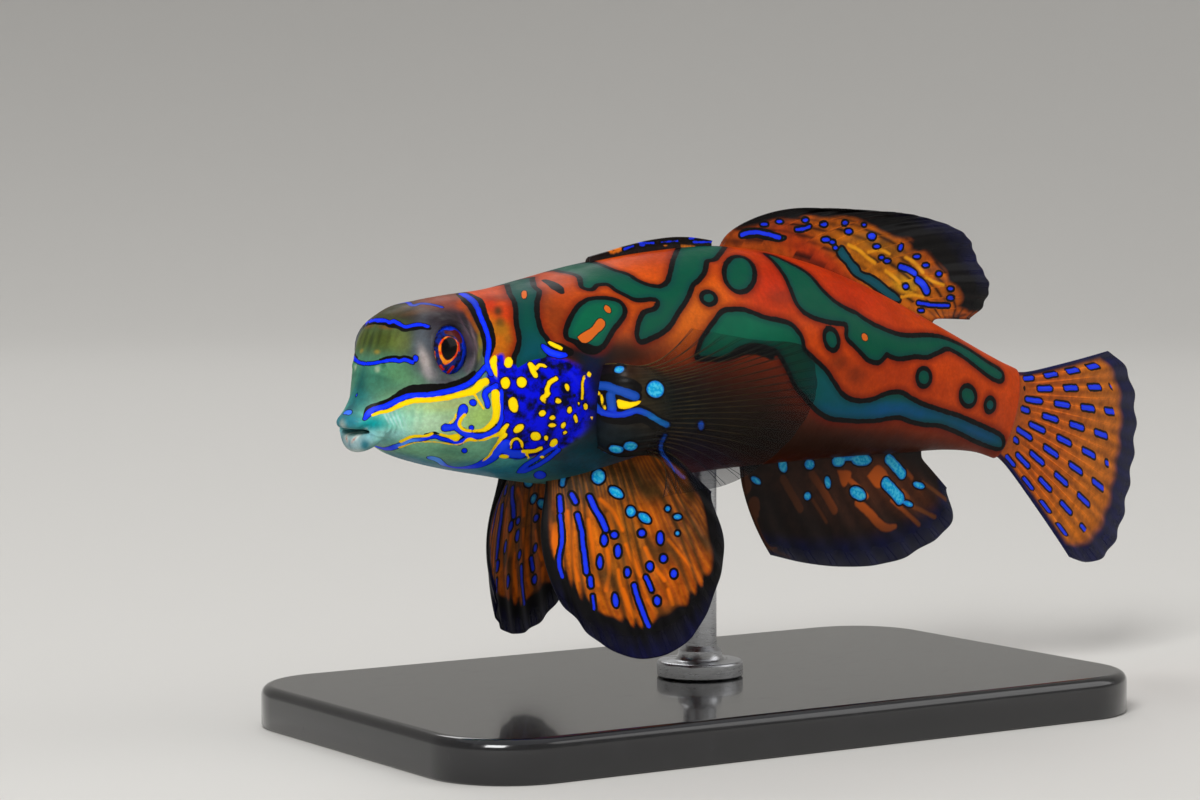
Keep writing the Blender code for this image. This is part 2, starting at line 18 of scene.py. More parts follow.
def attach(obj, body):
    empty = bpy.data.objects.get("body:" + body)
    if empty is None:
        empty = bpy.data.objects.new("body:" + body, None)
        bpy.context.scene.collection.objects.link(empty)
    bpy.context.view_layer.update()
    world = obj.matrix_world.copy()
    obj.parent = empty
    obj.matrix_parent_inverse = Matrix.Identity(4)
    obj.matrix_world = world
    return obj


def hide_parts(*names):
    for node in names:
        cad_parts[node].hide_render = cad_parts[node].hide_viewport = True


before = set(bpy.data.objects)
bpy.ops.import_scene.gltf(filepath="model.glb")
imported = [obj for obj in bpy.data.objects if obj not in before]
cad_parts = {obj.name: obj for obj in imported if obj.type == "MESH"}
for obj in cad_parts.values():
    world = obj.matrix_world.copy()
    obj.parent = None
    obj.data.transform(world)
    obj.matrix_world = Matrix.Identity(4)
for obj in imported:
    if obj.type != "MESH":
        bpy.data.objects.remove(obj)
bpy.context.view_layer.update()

MM = 0.001
PERCENT = 0.01

# %% [markdown]
# ## The camera comes first
# The markings are read off a photograph, so the camera must stand where the photographer
# stood: in front of the fish's left side and almost level with it. A long lens held close
# gives the same mild perspective. The fish isn't in the middle of the frame, and a small
# shift of the lens moves it without turning the camera.

# %% Camera
PHOTO_WIDTH, PHOTO_HEIGHT = 1200, 800
LENS, SENSOR = 100.0, 36.0
CAMERA_AZIMUTH, CAMERA_ELEVATION = math.radians(-34.0), math.radians(3.0)
CAMERA_DISTANCE = 0.200
AIM = Vector((0.0, 0.0, 21.5 * MM))
AIM_PIXEL = (700.0, 361.0)  # where the photograph shows the point of aim
FOCAL_PIXELS = LENS / SENSOR * PHOTO_WIDTH

to_camera = Vector(
    (
        math.sin(CAMERA_AZIMUTH) * math.cos(CAMERA_ELEVATION),
        -math.cos(CAMERA_AZIMUTH) * math.cos(CAMERA_ELEVATION),
        math.sin(CAMERA_ELEVATION),
    )
)
camera_right = Vector((math.cos(CAMERA_AZIMUTH), math.sin(CAMERA_AZIMUTH), 0.0))
camera_up = to_camera.cross(camera_right)
camera_place = AIM + to_camera * CAMERA_DISTANCE

camera = bpy.data.objects.new("camera", bpy.data.cameras.new("camera"))
camera.data.lens = LENS
camera.data.sensor_width = SENSOR
camera.data.clip_start = 10.0 * MM
camera.data.shift_x = (PHOTO_WIDTH / 2 - AIM_PIXEL[0]) / PHOTO_WIDTH
camera.data.shift_y = (AIM_PIXEL[1] - PHOTO_HEIGHT / 2) / PHOTO_WIDTH
camera.matrix_world = Matrix.Translation(camera_place) @ Matrix(
    (camera_right, camera_up, to_camera)
).transposed().to_4x4()
bpy.context.scene.collection.objects.link(camera)
bpy.context.scene.camera = camera
bpy.context.scene.view_settings.view_transform = "Standard"  # keeps pure blues pure


def sight_line(x, y):
    """The direction from the camera through a pixel of the photograph."""
    right = (x - AIM_PIXEL[0]) / FOCAL_PIXELS
    up = (AIM_PIXEL[1] - y) / FOCAL_PIXELS
    return (camera_right * right + camera_up * up - to_camera).normalized()


def pixels(points):
    """Where points in the room show in the photograph."""
    away = points - np.array(camera_place)
    depth = -(away @ np.array(to_camera))
    x = AIM_PIXEL[0] + FOCAL_PIXELS * (away @ np.array(camera_right)) / depth
    y = AIM_PIXEL[1] - FOCAL_PIXELS * (away @ np.array(camera_up)) / depth
    return np.stack([x, y], -1)


print("camera", [round(v, 3) for v in camera_place])

# %% [markdown]
# ## The straight fish and its pose
# It is hard to design a bent fish, and easy to design a straight one. So the body is a table of
# cross sections along a straight line, and one function bends the result: the head turns to
# the fish's left, and the tail swings right and hangs down. The numbers are the same as in
# the solids, so that the skin lies exactly where they are.

# %% The body's cross sections
STANDARD_LENGTH = 50.0 * MM  # from the lips to the root of the tail fin
SPINE_HEIGHT = 21.5 * MM
HEAD_YAW, TAIL_YAW = 9.0, 9.0  # degrees
HEAD_PITCH, TAIL_PITCH = 1.0, 19.0

# Percent of the length: distance from the lips, how far the sides lie behind that, level of
# the widest point, height above it, depth below it, half width, squareness above and below
BODY_ROWS = np.array(
    (
        (2.4, 1.2, -5.9, 0.1, 0.1, 1.5, 2.0, 2.0),
        (1.1, 1.2, -5.9, 0.3, 0.3, 2.1, 2.0, 2.0),
        (0.0, 1.2, -5.9, 0.6, 0.7, 2.5, 2.0, 2.0),
        (-0.3, 1.2, -5.9, 1.1, 1.4, 2.8, 2.0, 2.0),
        (-0.1, 1.2, -5.9, 1.6, 2.0, 3.0, 2.0, 2.0),
        (0.5, 1.1, -5.9, 2.1, 2.4, 3.3, 2.0, 2.0),
        (1.3, 1.0, -5.8, 3.0, 2.3, 3.5, 2.0, 2.0),
        (2.2, 0.8, -5.4, 4.3, 1.9, 3.7, 2.0, 2.0),
        (3.3, 0.5, -4.8, 7.0, 2.4, 4.3, 2.3, 2.1),
        (4.9, 0.2, -4.2, 10.2, 3.8, 5.6, 2.3, 2.2),
        (7.4, 0.0, -3.7, 11.4, 5.5, 7.1, 2.2, 2.3),
        (10.5, 0.0, -3.4, 11.7, 6.8, 8.4, 1.9, 2.4),
        (14.5, 0.0, -3.1, 11.9, 8.1, 9.7, 1.75, 2.5),
        (20.0, 0.0, -2.7, 12.0, 9.6, 11.5, 1.8, 2.5),
        (26.0, 0.0, -2.2, 12.6, 11.2, 12.6, 2.0, 2.4),
        (33.0, 0.0, -1.5, 13.4, 12.2, 12.4, 2.0, 2.2),
        (42.0, 0.0, -0.8, 14.0, 12.8, 11.4, 2.0, 2.1),
        (52.0, 0.0, -0.2, 14.0, 12.9, 10.0, 2.0, 2.1),
        (62.0, 0.0, 0.1, 12.7, 12.4, 8.4, 2.0, 2.1),
        (72.0, 0.0, 0.2, 10.5, 11.2, 6.8, 2.0, 2.1),
        (82.0, 0.0, 0.0, 8.3, 9.3, 5.2, 2.0, 2.1),
        (90.0, 0.0, 0.0, 6.8, 7.4, 3.9, 2.0, 2.1),
        (96.0, 0.0, 0.0, 6.1, 6.3, 2.9, 2.0, 2.0),
        (100.0, 0.0, 0.0, 6.0, 6.1, 2.2, 2.0, 2.0),
    )
)
LIP_ROWS = 8  # the first rows shape the lips, from inside the mouth outwards
JAW_BACK = 1.0  # percent, how far the lower lip lies behind the upper one
JAW_END, JAW_FADE = 10, 3.0  # row at which the lower jaw is level again, rows it takes
EYE_S, EYE_Y, EYE_Z = 10.0 * PERCENT, 3.75 * PERCENT, 2.7 * PERCENT
MOUND_RADIUS, MOUND_EDGE = 2.2 * MM, 9.0  # the higher the edge, the sharper the mound's foot
SPINE_START, SPINE_END, CURL_END = -0.3, 1.6, 1.6
print(len(BODY_ROWS), "cross sections")

# %% Smooth curves and the bent spine
def smooth_rows(rows, at):
    """The rows read at fractional row numbers, on one smooth curve through them."""
    rows = np.asarray(rows, float)
    at = np.clip(np.asarray(at, float), 0.0, len(rows) - 1.0)
    first = np.minimum(at.astype(int), len(rows) - 2)
    t = (at - first)[..., None]
    slope = np.gradient(rows, axis=0)
    a, b = rows[first], rows[first + 1]
    da, db = slope[first], slope[first + 1]
    return (
        (2 * t**3 - 3 * t**2 + 1) * a
        + (t**3 - 2 * t**2 + t) * da
        + (3 * t**2 - 2 * t**3) * b
        + (t**3 - t**2) * db
    )


def spine(samples=401):
    """Points and directions along the bent spine."""
    s = np.linspace(SPINE_START * STANDARD_LENGTH, SPINE_END * STANDARD_LENGTH, samples)
    middle = 0.5 * STANDARD_LENGTH
    ahead = np.clip((middle - s) / middle, 0.0, 1.0)
    behind = np.clip((s - middle) / middle, 0.0, CURL_END)
    yaw = np.radians(-HEAD_YAW * ahead**1.5 - TAIL_YAW * behind**2)
    pitch = np.radians(HEAD_PITCH * ahead**1.5 - TAIL_PITCH * np.minimum(behind, 1.0))
    along = np.stack(
        [np.cos(pitch) * np.cos(yaw), -np.cos(pitch) * np.sin(yaw), np.sin(pitch)], 1
    )
    step = s[1] - s[0]
    points = np.vstack([np.zeros(3), np.cumsum((along[1:] + along[:-1]) / 2 * step, 0)])
    centre = [np.interp(middle, s, points[:, i]) for i in range(3)]
    points += np.array([0.0, 0.0, SPINE_HEIGHT]) - centre
    return s, points, yaw, pitch


SPINE_S, SPINE_POINTS, SPINE_YAW, SPINE_PITCH = spine()


def posed(points):
    """Points of the straight fish (s, y, z) bent along the spine, in the room."""
    points = np.asarray(points, float)
    s = points[..., 0]
    centre = np.stack([np.interp(s, SPINE_S, SPINE_POINTS[:, i]) for i in range(3)], -1)
    yaw = np.interp(s, SPINE_S, SPINE_YAW)
    pitch = np.interp(s, SPINE_S, SPINE_PITCH)
    across = np.stack([np.sin(yaw), np.cos(yaw), 0 * yaw], -1)
    up = np.stack(
        [-np.sin(pitch) * np.cos(yaw), np.sin(pitch) * np.sin(yaw), np.cos(pitch)], -1
    )
    return centre + points[..., 1:2] * across + points[..., 2:3] * up


print("the spine ends at", np.round(SPINE_POINTS[-1] / MM), "mm")

# %% Points on the skin
def eye_centre(side):
    """Middle of the mound of an eye; side is -1 for the left one and 1 for the right one."""
    return np.array([EYE_S, side * EYE_Y, EYE_Z]) * STANDARD_LENGTH


def swell_eyes(points):
    """Pushes the skin out over the two round mounds that hold the eyes."""
    for side in (-1, 1):
        away = points - eye_centre(side)
        distance = np.linalg.norm(away, axis=-1, keepdims=True)
        sharp = MOUND_EDGE / MOUND_RADIUS
        swollen = np.logaddexp(distance * sharp, MOUND_RADIUS * sharp) / sharp
        points = eye_centre(side) + away * swollen / np.maximum(distance, 1e-9)
    return points


def body_point(row, theta):
    """Points of the skin in the straight fish. row runs along BODY_ROWS, theta round the body
    from the back (0) over the left flank to the belly (pi)."""
    row, theta = np.broadcast_arrays(np.asarray(row, float), np.asarray(theta, float))
    s, back, middle, above, below, half, square_up, square_down = np.moveaxis(
        smooth_rows(BODY_ROWS, row), -1, 0
    )
    cosine, sine = np.cos(theta), np.sin(theta)
    exponent = 2.0 / np.where(cosine > 0, square_up, square_down)
    height = np.where(cosine > 0, above, below)
    y = -half * np.sign(sine) * np.abs(sine) ** exponent
    z = middle + height * np.sign(cosine) * np.abs(cosine) ** exponent
    jaw = JAW_BACK * np.clip((JAW_END - row) / JAW_FADE, 0.0, 1.0) * (1.0 - cosine) / 2.0
    points = np.stack([s + back * sine**2 + jaw, y, z], -1) * PERCENT * STANDARD_LENGTH
    return swell_eyes(points)


def body_normal(row, theta):
    """Outward unit normals of the skin in the straight fish."""
    d = 0.02
    along = body_point(row + d, theta) - body_point(row - d, theta)
    around = body_point(row, theta + d) - body_point(row, theta - d)
    normal = np.cross(around, along)
    return normal / np.maximum(np.linalg.norm(normal, axis=-1, keepdims=True), 1e-12)


def row_at(s):
    """Row number behind the lips where the body is s percent of the length from the lips."""
    rows = np.linspace(LIP_ROWS, len(BODY_ROWS) - 1.0, 800)
    return np.interp(s, smooth_rows(BODY_ROWS, rows)[:, 0], rows)


print("lips at", np.round(posed([0.0, 0.0, 0.0]) / MM, 1), "mm")

# %% [markdown]
# ## A skin fine enough to paint on
# The solids of the flesh are three pieces with a few thousand faces. The skin that shows is one
# closed grid, so that no seam crosses a marking. Its rows lie closer on the head, because the
# finest lines are there. Each grid point will carry numbers for the paint, so the spacing of
# about a tenth of a millimetre is also the finest line that the paint can have.

# %% The grid of the skin
SKIN_AROUND = 228
HEAD_STEP, BODY_STEP = 0.098 * MM, 0.152 * MM  # spacing of the rows
HEAD_END = 27.0  # percent of the length


def skin_rows():
    """Row numbers at even steps along the surface."""
    rows = np.linspace(0.0, len(BODY_ROWS) - 1.0, 6000)
    step = np.zeros(len(rows) - 1)
    for theta in (0.02, math.pi / 2, math.pi - 0.02):
        line = body_point(rows, theta)
        step = np.maximum(step, np.linalg.norm(np.diff(line, axis=0), axis=1))
    s = smooth_rows(BODY_ROWS, rows)[:, 0]
    wanted = np.where(s < HEAD_END, HEAD_STEP, BODY_STEP)[:-1]
    passed = np.concatenate([[0.0], np.cumsum(step / wanted)])
    return np.interp(np.linspace(0.0, passed[-1], int(passed[-1]) + 1), passed, rows)


SKIN_ROWS = skin_rows()
SKIN_THETA = np.linspace(0.0, 2.0 * math.pi, SKIN_AROUND, endpoint=False)
HALF = SKIN_AROUND // 2 + 1  # columns of the left half, the two midlines included
flat_skin = body_point(SKIN_ROWS[:, None], SKIN_THETA[None, :])
print("skin", flat_skin.shape[:2], "points,", 2 * flat_skin.shape[0] * SKIN_AROUND, "triangles")

# %% [markdown]
# ## Reading marks off the photograph
# A painter copies a marking by looking along a line of sight and touching the model where that
# line meets it. `Chart` does this: it sends a ray from the camera through a pixel to a grid
# and says which place of the grid it meets. A stroke then becomes a row of round dabs, and a
# patch becomes an outline, both on the surface of the straight fish. Every grid point learns its
# distance to the edge of the marks, in millimetres and negative inside them. The shader turns
# these distances into crisp edges, which no grid of colours could give.

# %% Strokes, spots and patches
FAR = 1.5  # mm, the greatest distance that is stored
SEARCH = np.linspace(0.8, 1.25, 19)  # where a sight line that misses looks for the nearest point
WIDEST = 1.8  # how much a slanting surface may widen a stroke


def smooth_line(points, step=1.3):
    """Points along one smooth curve, about step apart."""
    points = np.array(points, float)
    length = np.hypot(*np.diff(points[:, :2], axis=0).T).sum()
    count = max(int(length / step), 2)
    return smooth_rows(points, np.linspace(0.0, len(points) - 1.0, count))


def stroke(width, *points):
    """A painted line of some width in pixels. A point may give its own width."""
    wide = [(*p[:2], p[2] if len(p) > 2 else width) for p in points]
    return "stroke", smooth_line(wide)


def spot(x, y, half_wide, half_high, tilt=0.0):
    """An oval, leaning by tilt degrees to the right of upright."""
    turn = np.linspace(0.0, 2.0 * math.pi, 20, endpoint=False)
    a, b = half_wide * np.cos(turn), half_high * np.sin(turn)
    lean = math.radians(tilt)
    across = x + a * math.cos(lean) - b * math.sin(lean)
    down = y + a * math.sin(lean) + b * math.cos(lean)
    return "patch", np.stack([across, down], 1)


def patch(*points):
    """A closed shape with a smooth outline."""
    return "patch", smooth_line([*points, points[0]], 2.0)[:-1]


print("a line of 20 pixels takes", len(stroke(3, (0, 0), (20, 0))[1]), "dabs")

# %% Painting by line of sight
def tube_faces(rows, columns, strips):
    """Quads of a grid of points. With as many strips as columns, its last column joins the
    first."""
    i, j = np.meshgrid(np.arange(rows - 1), np.arange(strips), indexing="ij")
    a, b = i * columns + j, i * columns + (j + 1) % columns
    return np.stack([a, b, b + columns, a + columns], -1).reshape(-1, 4).tolist()


class Chart:
    """A grid of points in the straight fish that can be painted by line of sight."""

    def __init__(self, straight, closed=False, polar=False):
        self.straight = straight
        self.closed, self.polar = closed, polar
        self.rows, self.columns = straight.shape[:2]
        self.strips = self.columns if closed or polar else self.columns - 1
        self.room = posed(straight)
        self.quads = tube_faces(self.rows, self.columns, self.strips)
        self.tree = BVHTree.FromPolygons(self.room.reshape(-1, 3).tolist(), self.quads)

    def touch(self, x, y):
        """Grid place and straight point that show at a pixel."""
        direction = sight_line(x, y)
        hit, _, face, _ = self.tree.ray_cast(camera_place, direction)
        if hit is None:
            places = (camera_place + direction * CAMERA_DISTANCE * share for share in SEARCH)
            found = [self.tree.find_nearest(place) for place in places]
            hit, _, face, _ = min(found, key=lambda near: near[3])
        i, j = divmod(face, self.strips)
        k = (j + 1) % self.columns
        corner = self.room[i, j]
        edges = np.stack([self.room[i + 1, j] - corner, self.room[i, k] - corner], 1)
        share = np.clip(np.linalg.lstsq(edges, np.array(hit) - corner, rcond=None)[0], 0.0, 1.0)
        start, below, beside = self.straight[i, j], self.straight[i + 1, j], self.straight[i, k]
        point = start + share[0] * (below - start) + share[1] * (beside - start)
        column = j + share[1]
        if self.closed and column > 0.75 * self.columns:
            column -= self.columns
        return np.array([i + share[0], column]), point

    def plan(self, i, j):
        """Flat coordinates of grid places. A polar grid lies round its middle."""
        turn = 2.0 * math.pi * j / self.columns
        return ((i + 1.0) * np.cos(turn), (i + 1.0) * np.sin(turn)) if self.polar else (i, j)

    def field(self, marks, reach=FAR):
        """Distance in millimetres from each grid point to the edge of the marks. A closed grid
        is painted on its left half, and the right half is its mirror image."""
        columns = self.columns // 2 + 1 if self.closed else self.columns
        points = self.straight[:, :columns].reshape(-1, 3) / MM
        place_i, place_j = np.meshgrid(np.arange(self.rows), np.arange(columns), indexing="ij")
        place_i, place_j = place_i.ravel(), place_j.ravel()
        result = np.full(len(points), reach)
        for kind, line in marks:
            if kind == "stroke":
                centres, radii = self.dabs(line)
                near = self.near(points, centres, reach + radii.max())
                away = np.linalg.norm(points[near][:, None] - centres[None], axis=2)
                signed = (away - radii[None]).min(1)
            else:
                places, outline = (np.array(one) for one in zip(*(self.touch(*p) for p in line)))
                near = self.near(points, outline / MM, reach)
                away = distance_to_loop(points[near], outline / MM)
                loop = np.stack(self.plan(*places.T), 1)
                inside = enclosed(loop, *self.plan(place_i[near], place_j[near]))
                signed = np.where(inside, -away, away)
            result[near] = np.minimum(result[near], signed)
        result = result.reshape(self.rows, columns)
        if self.closed:
            result = np.concatenate([result, result[:, -2:0:-1]], 1)
        return result

    def dabs(self, line):
        """Centres and radii, in millimetres, of the round dabs of a stroke."""
        step = np.gradient(line[:, :2], axis=0)
        side = np.stack([-step[:, 1], step[:, 0]], 1)
        side *= (line[:, 2] / 2 / np.maximum(np.hypot(*step.T), 1e-6))[:, None]
        centres, one, other = (
            np.array([self.touch(*p)[1] for p in line[:, :2] + shift * side]) / MM
            for shift in (0, 1, -1)
        )
        plain = line[:, 2] / 2 * CAMERA_DISTANCE / FOCAL_PIXELS / MM
        return centres, np.clip(np.linalg.norm(one - other, axis=1) / 2, plain, WIDEST * plain)

    @staticmethod
    def near(points, marks, margin):
        """Numbers of the points in the box round some marks."""
        low, high = marks.min(0) - margin, marks.max(0) + margin
        return np.flatnonzero(((points > low) & (points < high)).all(1))


def distance_to_loop(points, loop):
    """Distance from points to a closed line."""
    best = np.full(len(points), 1e9)
    for start, end in zip(loop, np.roll(loop, -1, 0)):
        along = end - start
        t = np.clip((points - start) @ along / max(along @ along, 1e-12), 0.0, 1.0)
        best = np.minimum(best, np.linalg.norm(points - start - t[:, None] * along, axis=1))
    return best


def enclosed(loop, x, y):
    """Whether grid places lie inside a closed line."""
    turns = np.zeros(len(x))
    for (x0, y0), (x1, y1) in zip(loop, np.roll(loop, -1, 0)):
        if y0 == y1:
            continue
        cross = x0 + (y - y0) * (x1 - x0) / (y1 - y0)
        turns += np.where((y0 <= y) & (y < y1) & (x < cross), 1, 0)
        turns -= np.where((y1 <= y) & (y < y0) & (x < cross), 1, 0)
    return turns != 0


skin_chart = Chart(flat_skin, closed=True)
PUPIL_PIXEL = (448, 347)
print("the sight line to the pupil meets grid place", skin_chart.touch(*PUPIL_PIXEL)[0].round(1))

# %% [markdown]
# ## The blue lines of the face
# On the living fish these lines are a true blue pigment, which few animals have. They are about
# a quarter of a millimetre wide, with a black edge on the upper side. Each stroke here is a
# width and the pixels that it passes through. A stroke that swells or thins gives the width
# at each point.

# %% Blue lines
FACE_LINES = (
    # over the snout and the brow
    stroke(
        3.2, (367.5, 323), (372, 321), (380, 320.3), (386, 321), (390, 322.5), (393, 321.3), (397, 322.5),
        (401, 325), (406, 326.7), (413, 325.2), (421, 324.6), (428, 326.7),
    ),
    stroke(
        3.2, (357, 362.3), (367, 363.7), (379, 362.3), (389, 360.5), (395, 360), (399, 361), (405, 359.6),
        (412.6, 362.3),
    ),
    spot(415.5, 358.6, 2.3, 3.0),
    # behind the eye
    stroke(
        4.6, (463, 294), (470, 298.5), (474.3, 303), (478, 310), (482, 320), (486, 330), (488.7, 340),
        (489, 348), (487.5, 355), (486.7, 361), (488, 367), (491, 374),
    ),
    # along the cheek
    stroke(
        5, (364.8, 418.5, 3), (368.5, 413.5, 6), (374.2, 409.4), (384.5, 406.6), (393.4, 402.4),
        (400.8, 399), (408.1, 396.1), (418.5, 395.3), (430.3, 394.6), (442, 392.4), (455.3, 389.4),
        (467.1, 384.5), (474.5, 379), (481, 372), (487, 365),
    ),
    # the tongue and the forked line under it
    stroke(5, (496.6, 386), (490, 389), (484.8, 393.8), (487, 401.2), (487.8, 405.6)),
    stroke(
        6, (463.4, 409.3, 9), (461.2, 413.7, 7), (458.3, 420.4, 5), (455.3, 426.3), (448, 427.8),
        (445, 428, 7),
    ),
    stroke(
        5, (455.3, 426.3, 6), (459.7, 430, 6), (465.6, 433.7, 6), (473, 435.9, 6), (481.9, 435.9),
        (490.7, 432.9), (498.1, 427.8), (501.8, 420.4, 4), (501.8, 411.5, 4), (501.8, 400, 4),
        (501.8, 391, 4),
    ),
    # over and along the chin
    stroke(
        3.5, (381.6, 449.1, 3), (389, 448.7), (394.9, 446.9), (400.8, 444.7), (406.7, 441.8),
        (412.6, 440.3), (421.4, 439.5), (430.3, 437.3), (436.2, 436.6), (442, 438.8), (449.4, 440.7),
        (458.3, 443.2), (462.7, 441, 4), (467.1, 438.8, 4),
    ),
    stroke(
        5, (431.7, 458), (436.2, 459.5), (439.8, 461.7, 4), (445, 465.3, 4), (455.3, 467.6, 4),
        (467.1, 467.6), (477.4, 465.8, 6), (484.8, 462.4, 6), (492.2, 458, 7), (496.6, 452.8, 8),
        (502.5, 446.9, 8), (506.9, 444, 8),
    ),
    spot(464.5, 450.6, 2.5, 2.2),
    spot(471.5, 427.8, 2.3, 2.3),
    spot(473, 402.7, 3.3, 3.0),
    spot(348.4, 412.3, 3.5, 2.5),
    spot(540, 475, 6, 4),
    stroke(2.2, (354.5, 360), (353.5, 372), (354, 385), (356, 395)),
    # on the throat
    stroke(4, (520.2, 472), (526, 465.3), (536.4, 458.7), (546.7, 451.3), (555.6, 446.2)),
    stroke(4, (523, 472), (536.4, 466), (548.2, 458.7), (558.5, 450)),
    stroke(8, (505, 450), (512, 454), (521, 454.5)),
    # over the gill opening
    stroke(6, (543.4, 346, 4), (549.3, 351.2), (559.6, 354.9), (565.5, 355, 4)),
    # on the crown
    stroke(2.5, (408, 302.5), (413, 305.5), (421, 303.5), (432, 304.5), (441, 307)),
)

# The black that lies over the blue lines
FACE_BLACK = (
    stroke(
        4, (363.5, 419.5, 2), (365.5, 412, 3), (368.5, 407.3), (376, 404.8), (386, 401.8, 5),
        (396, 396.8, 6), (402, 393.3, 8), (412, 390.2, 9.5), (422, 389.2, 9.5), (432, 388.2, 8),
        (444, 386.8, 6.5), (456, 383.5, 6.5), (466, 378.5, 6), (474, 372),
    ),
    stroke(
        14, (461, 292, 9), (470, 298.5, 11), (474.3, 303), (478, 310), (482, 320), (486.5, 330),
        (488.7, 340), (488.5, 348, 12), (486.5, 355, 9),
    ),
    stroke(4.5, (380, 360, 3), (389, 358.2), (395, 357.6), (400, 358.6), (405, 357.2), (412, 359.6)),
    stroke(
        5, (374, 322.4, 3), (380, 322.4, 4), (386, 323.3), (390, 325), (396, 325.5), (401, 328),
        (406, 329.5), (413, 328), (421, 327), (429, 328.5, 4),
    ),
    stroke(
        2.4, (458, 426), (462, 427.5), (468, 430.5), (476, 432), (484, 431.5), (491, 428.5), (496.5, 424),
    ),
    stroke(2.4, (425, 434.6), (434, 432.8), (441, 434.6), (449, 437), (458, 440), (464, 437)),
)
print(len(FACE_LINES), "blue marks and", len(FACE_BLACK), "black ones on the face")

# %% [markdown]
# ## The yellow of the cheek and the gill cover
# Yellow lies between the blue lines of the cheek, and it breaks up into drops on the deep blue
# gill cover. Every drop has a thin black edge, which the black paint adds later from the
# same distances.

# %% Yellow marks
YELLOW_MARKS = (
    # the stripe under the blue cheek line, and its branch
    stroke(
        5, (372.8, 415.2, 3), (380.1, 412.3, 3.5), (389, 410.8, 3.5), (396.3, 407.1, 4), (402.2, 404.2),
        (412.6, 400.9), (424.4, 400), (439.1, 399), (452.4, 396.5), (462.7, 393.8, 6), (471.5, 391.6, 7),
        (477.4, 387.9, 8), (481, 384, 8), (486.3, 381.4, 7),
    ),
    stroke(2.5, (475.2, 395.3), (478.9, 401.2), (483.3, 408.6)),
    # the hook round the pale patch of the cheek
    stroke(
        3.5, (495.9, 393.8, 9), (496, 401.2, 9), (496.6, 410.1, 8), (495.9, 417.4, 7.5),
        (492.2, 423.3, 6), (486.3, 428.5, 5), (480.4, 430.5), (468.6, 431, 3), (462, 428.5), (459.5, 424),
        (461, 419), (464.9, 414.5, 3),
    ),
    stroke(2.5, (456, 414.5), (454.6, 418.9), (450, 422.6)),
    stroke(3.5, (440.6, 434.4), (449.4, 436.6), (456, 437.5, 8)),
    stroke(3, (400.8, 441.8), (408, 438), (414, 436.3), (425.8, 435.9), (431.7, 433.7)),
    stroke(
        1.5, (399.3, 447.7), (412.6, 443.2), (425.8, 441.8), (439, 442.5), (455.3, 444.7), (462.7, 443.2),
    ),
    stroke(
        3, (462.7, 443.2, 1.5), (469.3, 439.5), (477.4, 440.7, 2), (486.3, 438.8, 2.5), (493.7, 435.9),
        (501, 433.7, 5), (505.4, 427.8, 4.5), (507.7, 424.8),
    ),
    stroke(
        3, (505.4, 435.1, 4), (501, 439.5, 4), (498.1, 444, 3.5), (493.7, 449.9), (489.2, 455.8, 2.5),
        (483.3, 460.9, 1.5),
    ),
    # drops on the gill cover
    spot(505.5, 382.9, 4.8, 5.8), spot(521.7, 382.2, 4.9, 5.5), spot(508.4, 362.3, 4.4, 5.4, 15),
    spot(513.5, 404.9, 4.6, 8.0, -10), spot(518.7, 428.5, 3.4, 6.2, 55), spot(535.7, 436.2, 5.2, 4.4),
    spot(542.3, 413.3, 3.9, 3.1, -30), spot(552.6, 417.7, 3.1, 2.2, -10), spot(551.9, 425.1, 4.2, 1.9),
    spot(546, 438.1, 2.0, 2.8, -20), spot(553.7, 443, 3.2, 4.8, 40), spot(557.8, 400.5, 3.6, 2.8, 15),
    spot(563.3, 425.3, 2.2, 3.4, 35), spot(569.6, 409.9, 2.6, 3.6, 15), spot(567, 387, 2.2, 3.8, -15),
    spot(504, 456.5, 5, 2), spot(542, 457, 2.4, 1.5), spot(564.8, 432.7, 2.5, 1.5, -30),
    stroke(2.6, (511, 448), (511.5, 442), (516, 438.6), (521, 441.5), (522.5, 447)),
    patch(
        (489.5, 361), (492, 357), (496, 354), (497, 358), (496.5, 364), (497.5, 372), (496.8, 378),
        (494, 374), (490.5, 366),
    ),
    stroke(5, (530.5, 364.5), (532.7, 371), (535.7, 375.5)),
    stroke(3.5, (530.5, 364.5), (536, 368), (539.3, 365.2), (545.3, 366)),
    stroke(3.5, (523.1, 451.3), (533.4, 451.3), (540.8, 448.4)),
    stroke(3, (526, 453), (528.4, 458)),
    stroke(
        4.5, (556, 378.5), (549.7, 382.9), (546.7, 390.3), (548.2, 393.8), (542.3, 398.3), (544.5, 401),
    ),
    stroke(4, (550, 343), (556, 346), (561, 348.2)),
    stroke(2.6, (584.7, 376.7), (583.2, 383.3), (583.2, 392.2), (582.5, 398.8)),
    stroke(3, (575.1, 415.8), (576.6, 421.7)),
    spot(586.1, 406.9, 2.5, 3), spot(578.8, 404, 1, 2), spot(574.4, 396.6, 1.5, 1.5),
    spot(592, 418, 1.5, 1.5), spot(589, 374.5, 2.4, 2.8),
)
# The deep blue of the gill cover
GILL_BLUE = (
    patch(
        (497.5, 356), (503, 355), (505, 366), (512, 366), (517, 366), (527, 361), (545, 358), (562, 359),
        (575, 363), (588, 371), (594, 384), (597, 400), (594, 420), (585, 434), (560, 449), (545, 452),
        (528, 457), (514, 459), (506, 451), (500, 440), (499, 425), (499, 405), (498, 391), (491, 387),
        (487.5, 380), (487.5, 374), (490, 370), (493.5, 375), (496.8, 380), (498, 373), (497, 364),
    ),
)
print(len(YELLOW_MARKS), "yellow marks")

# %% [markdown]
# ## The bands of the body
# The bands are the fish's sign. They curl, fork and close into rings, and no rule gives them,
# so each is an outline read off the photograph. The photograph shows the left side only. The
# right side of a real fish has its own bands of the same kind, and here it is the mirror image.

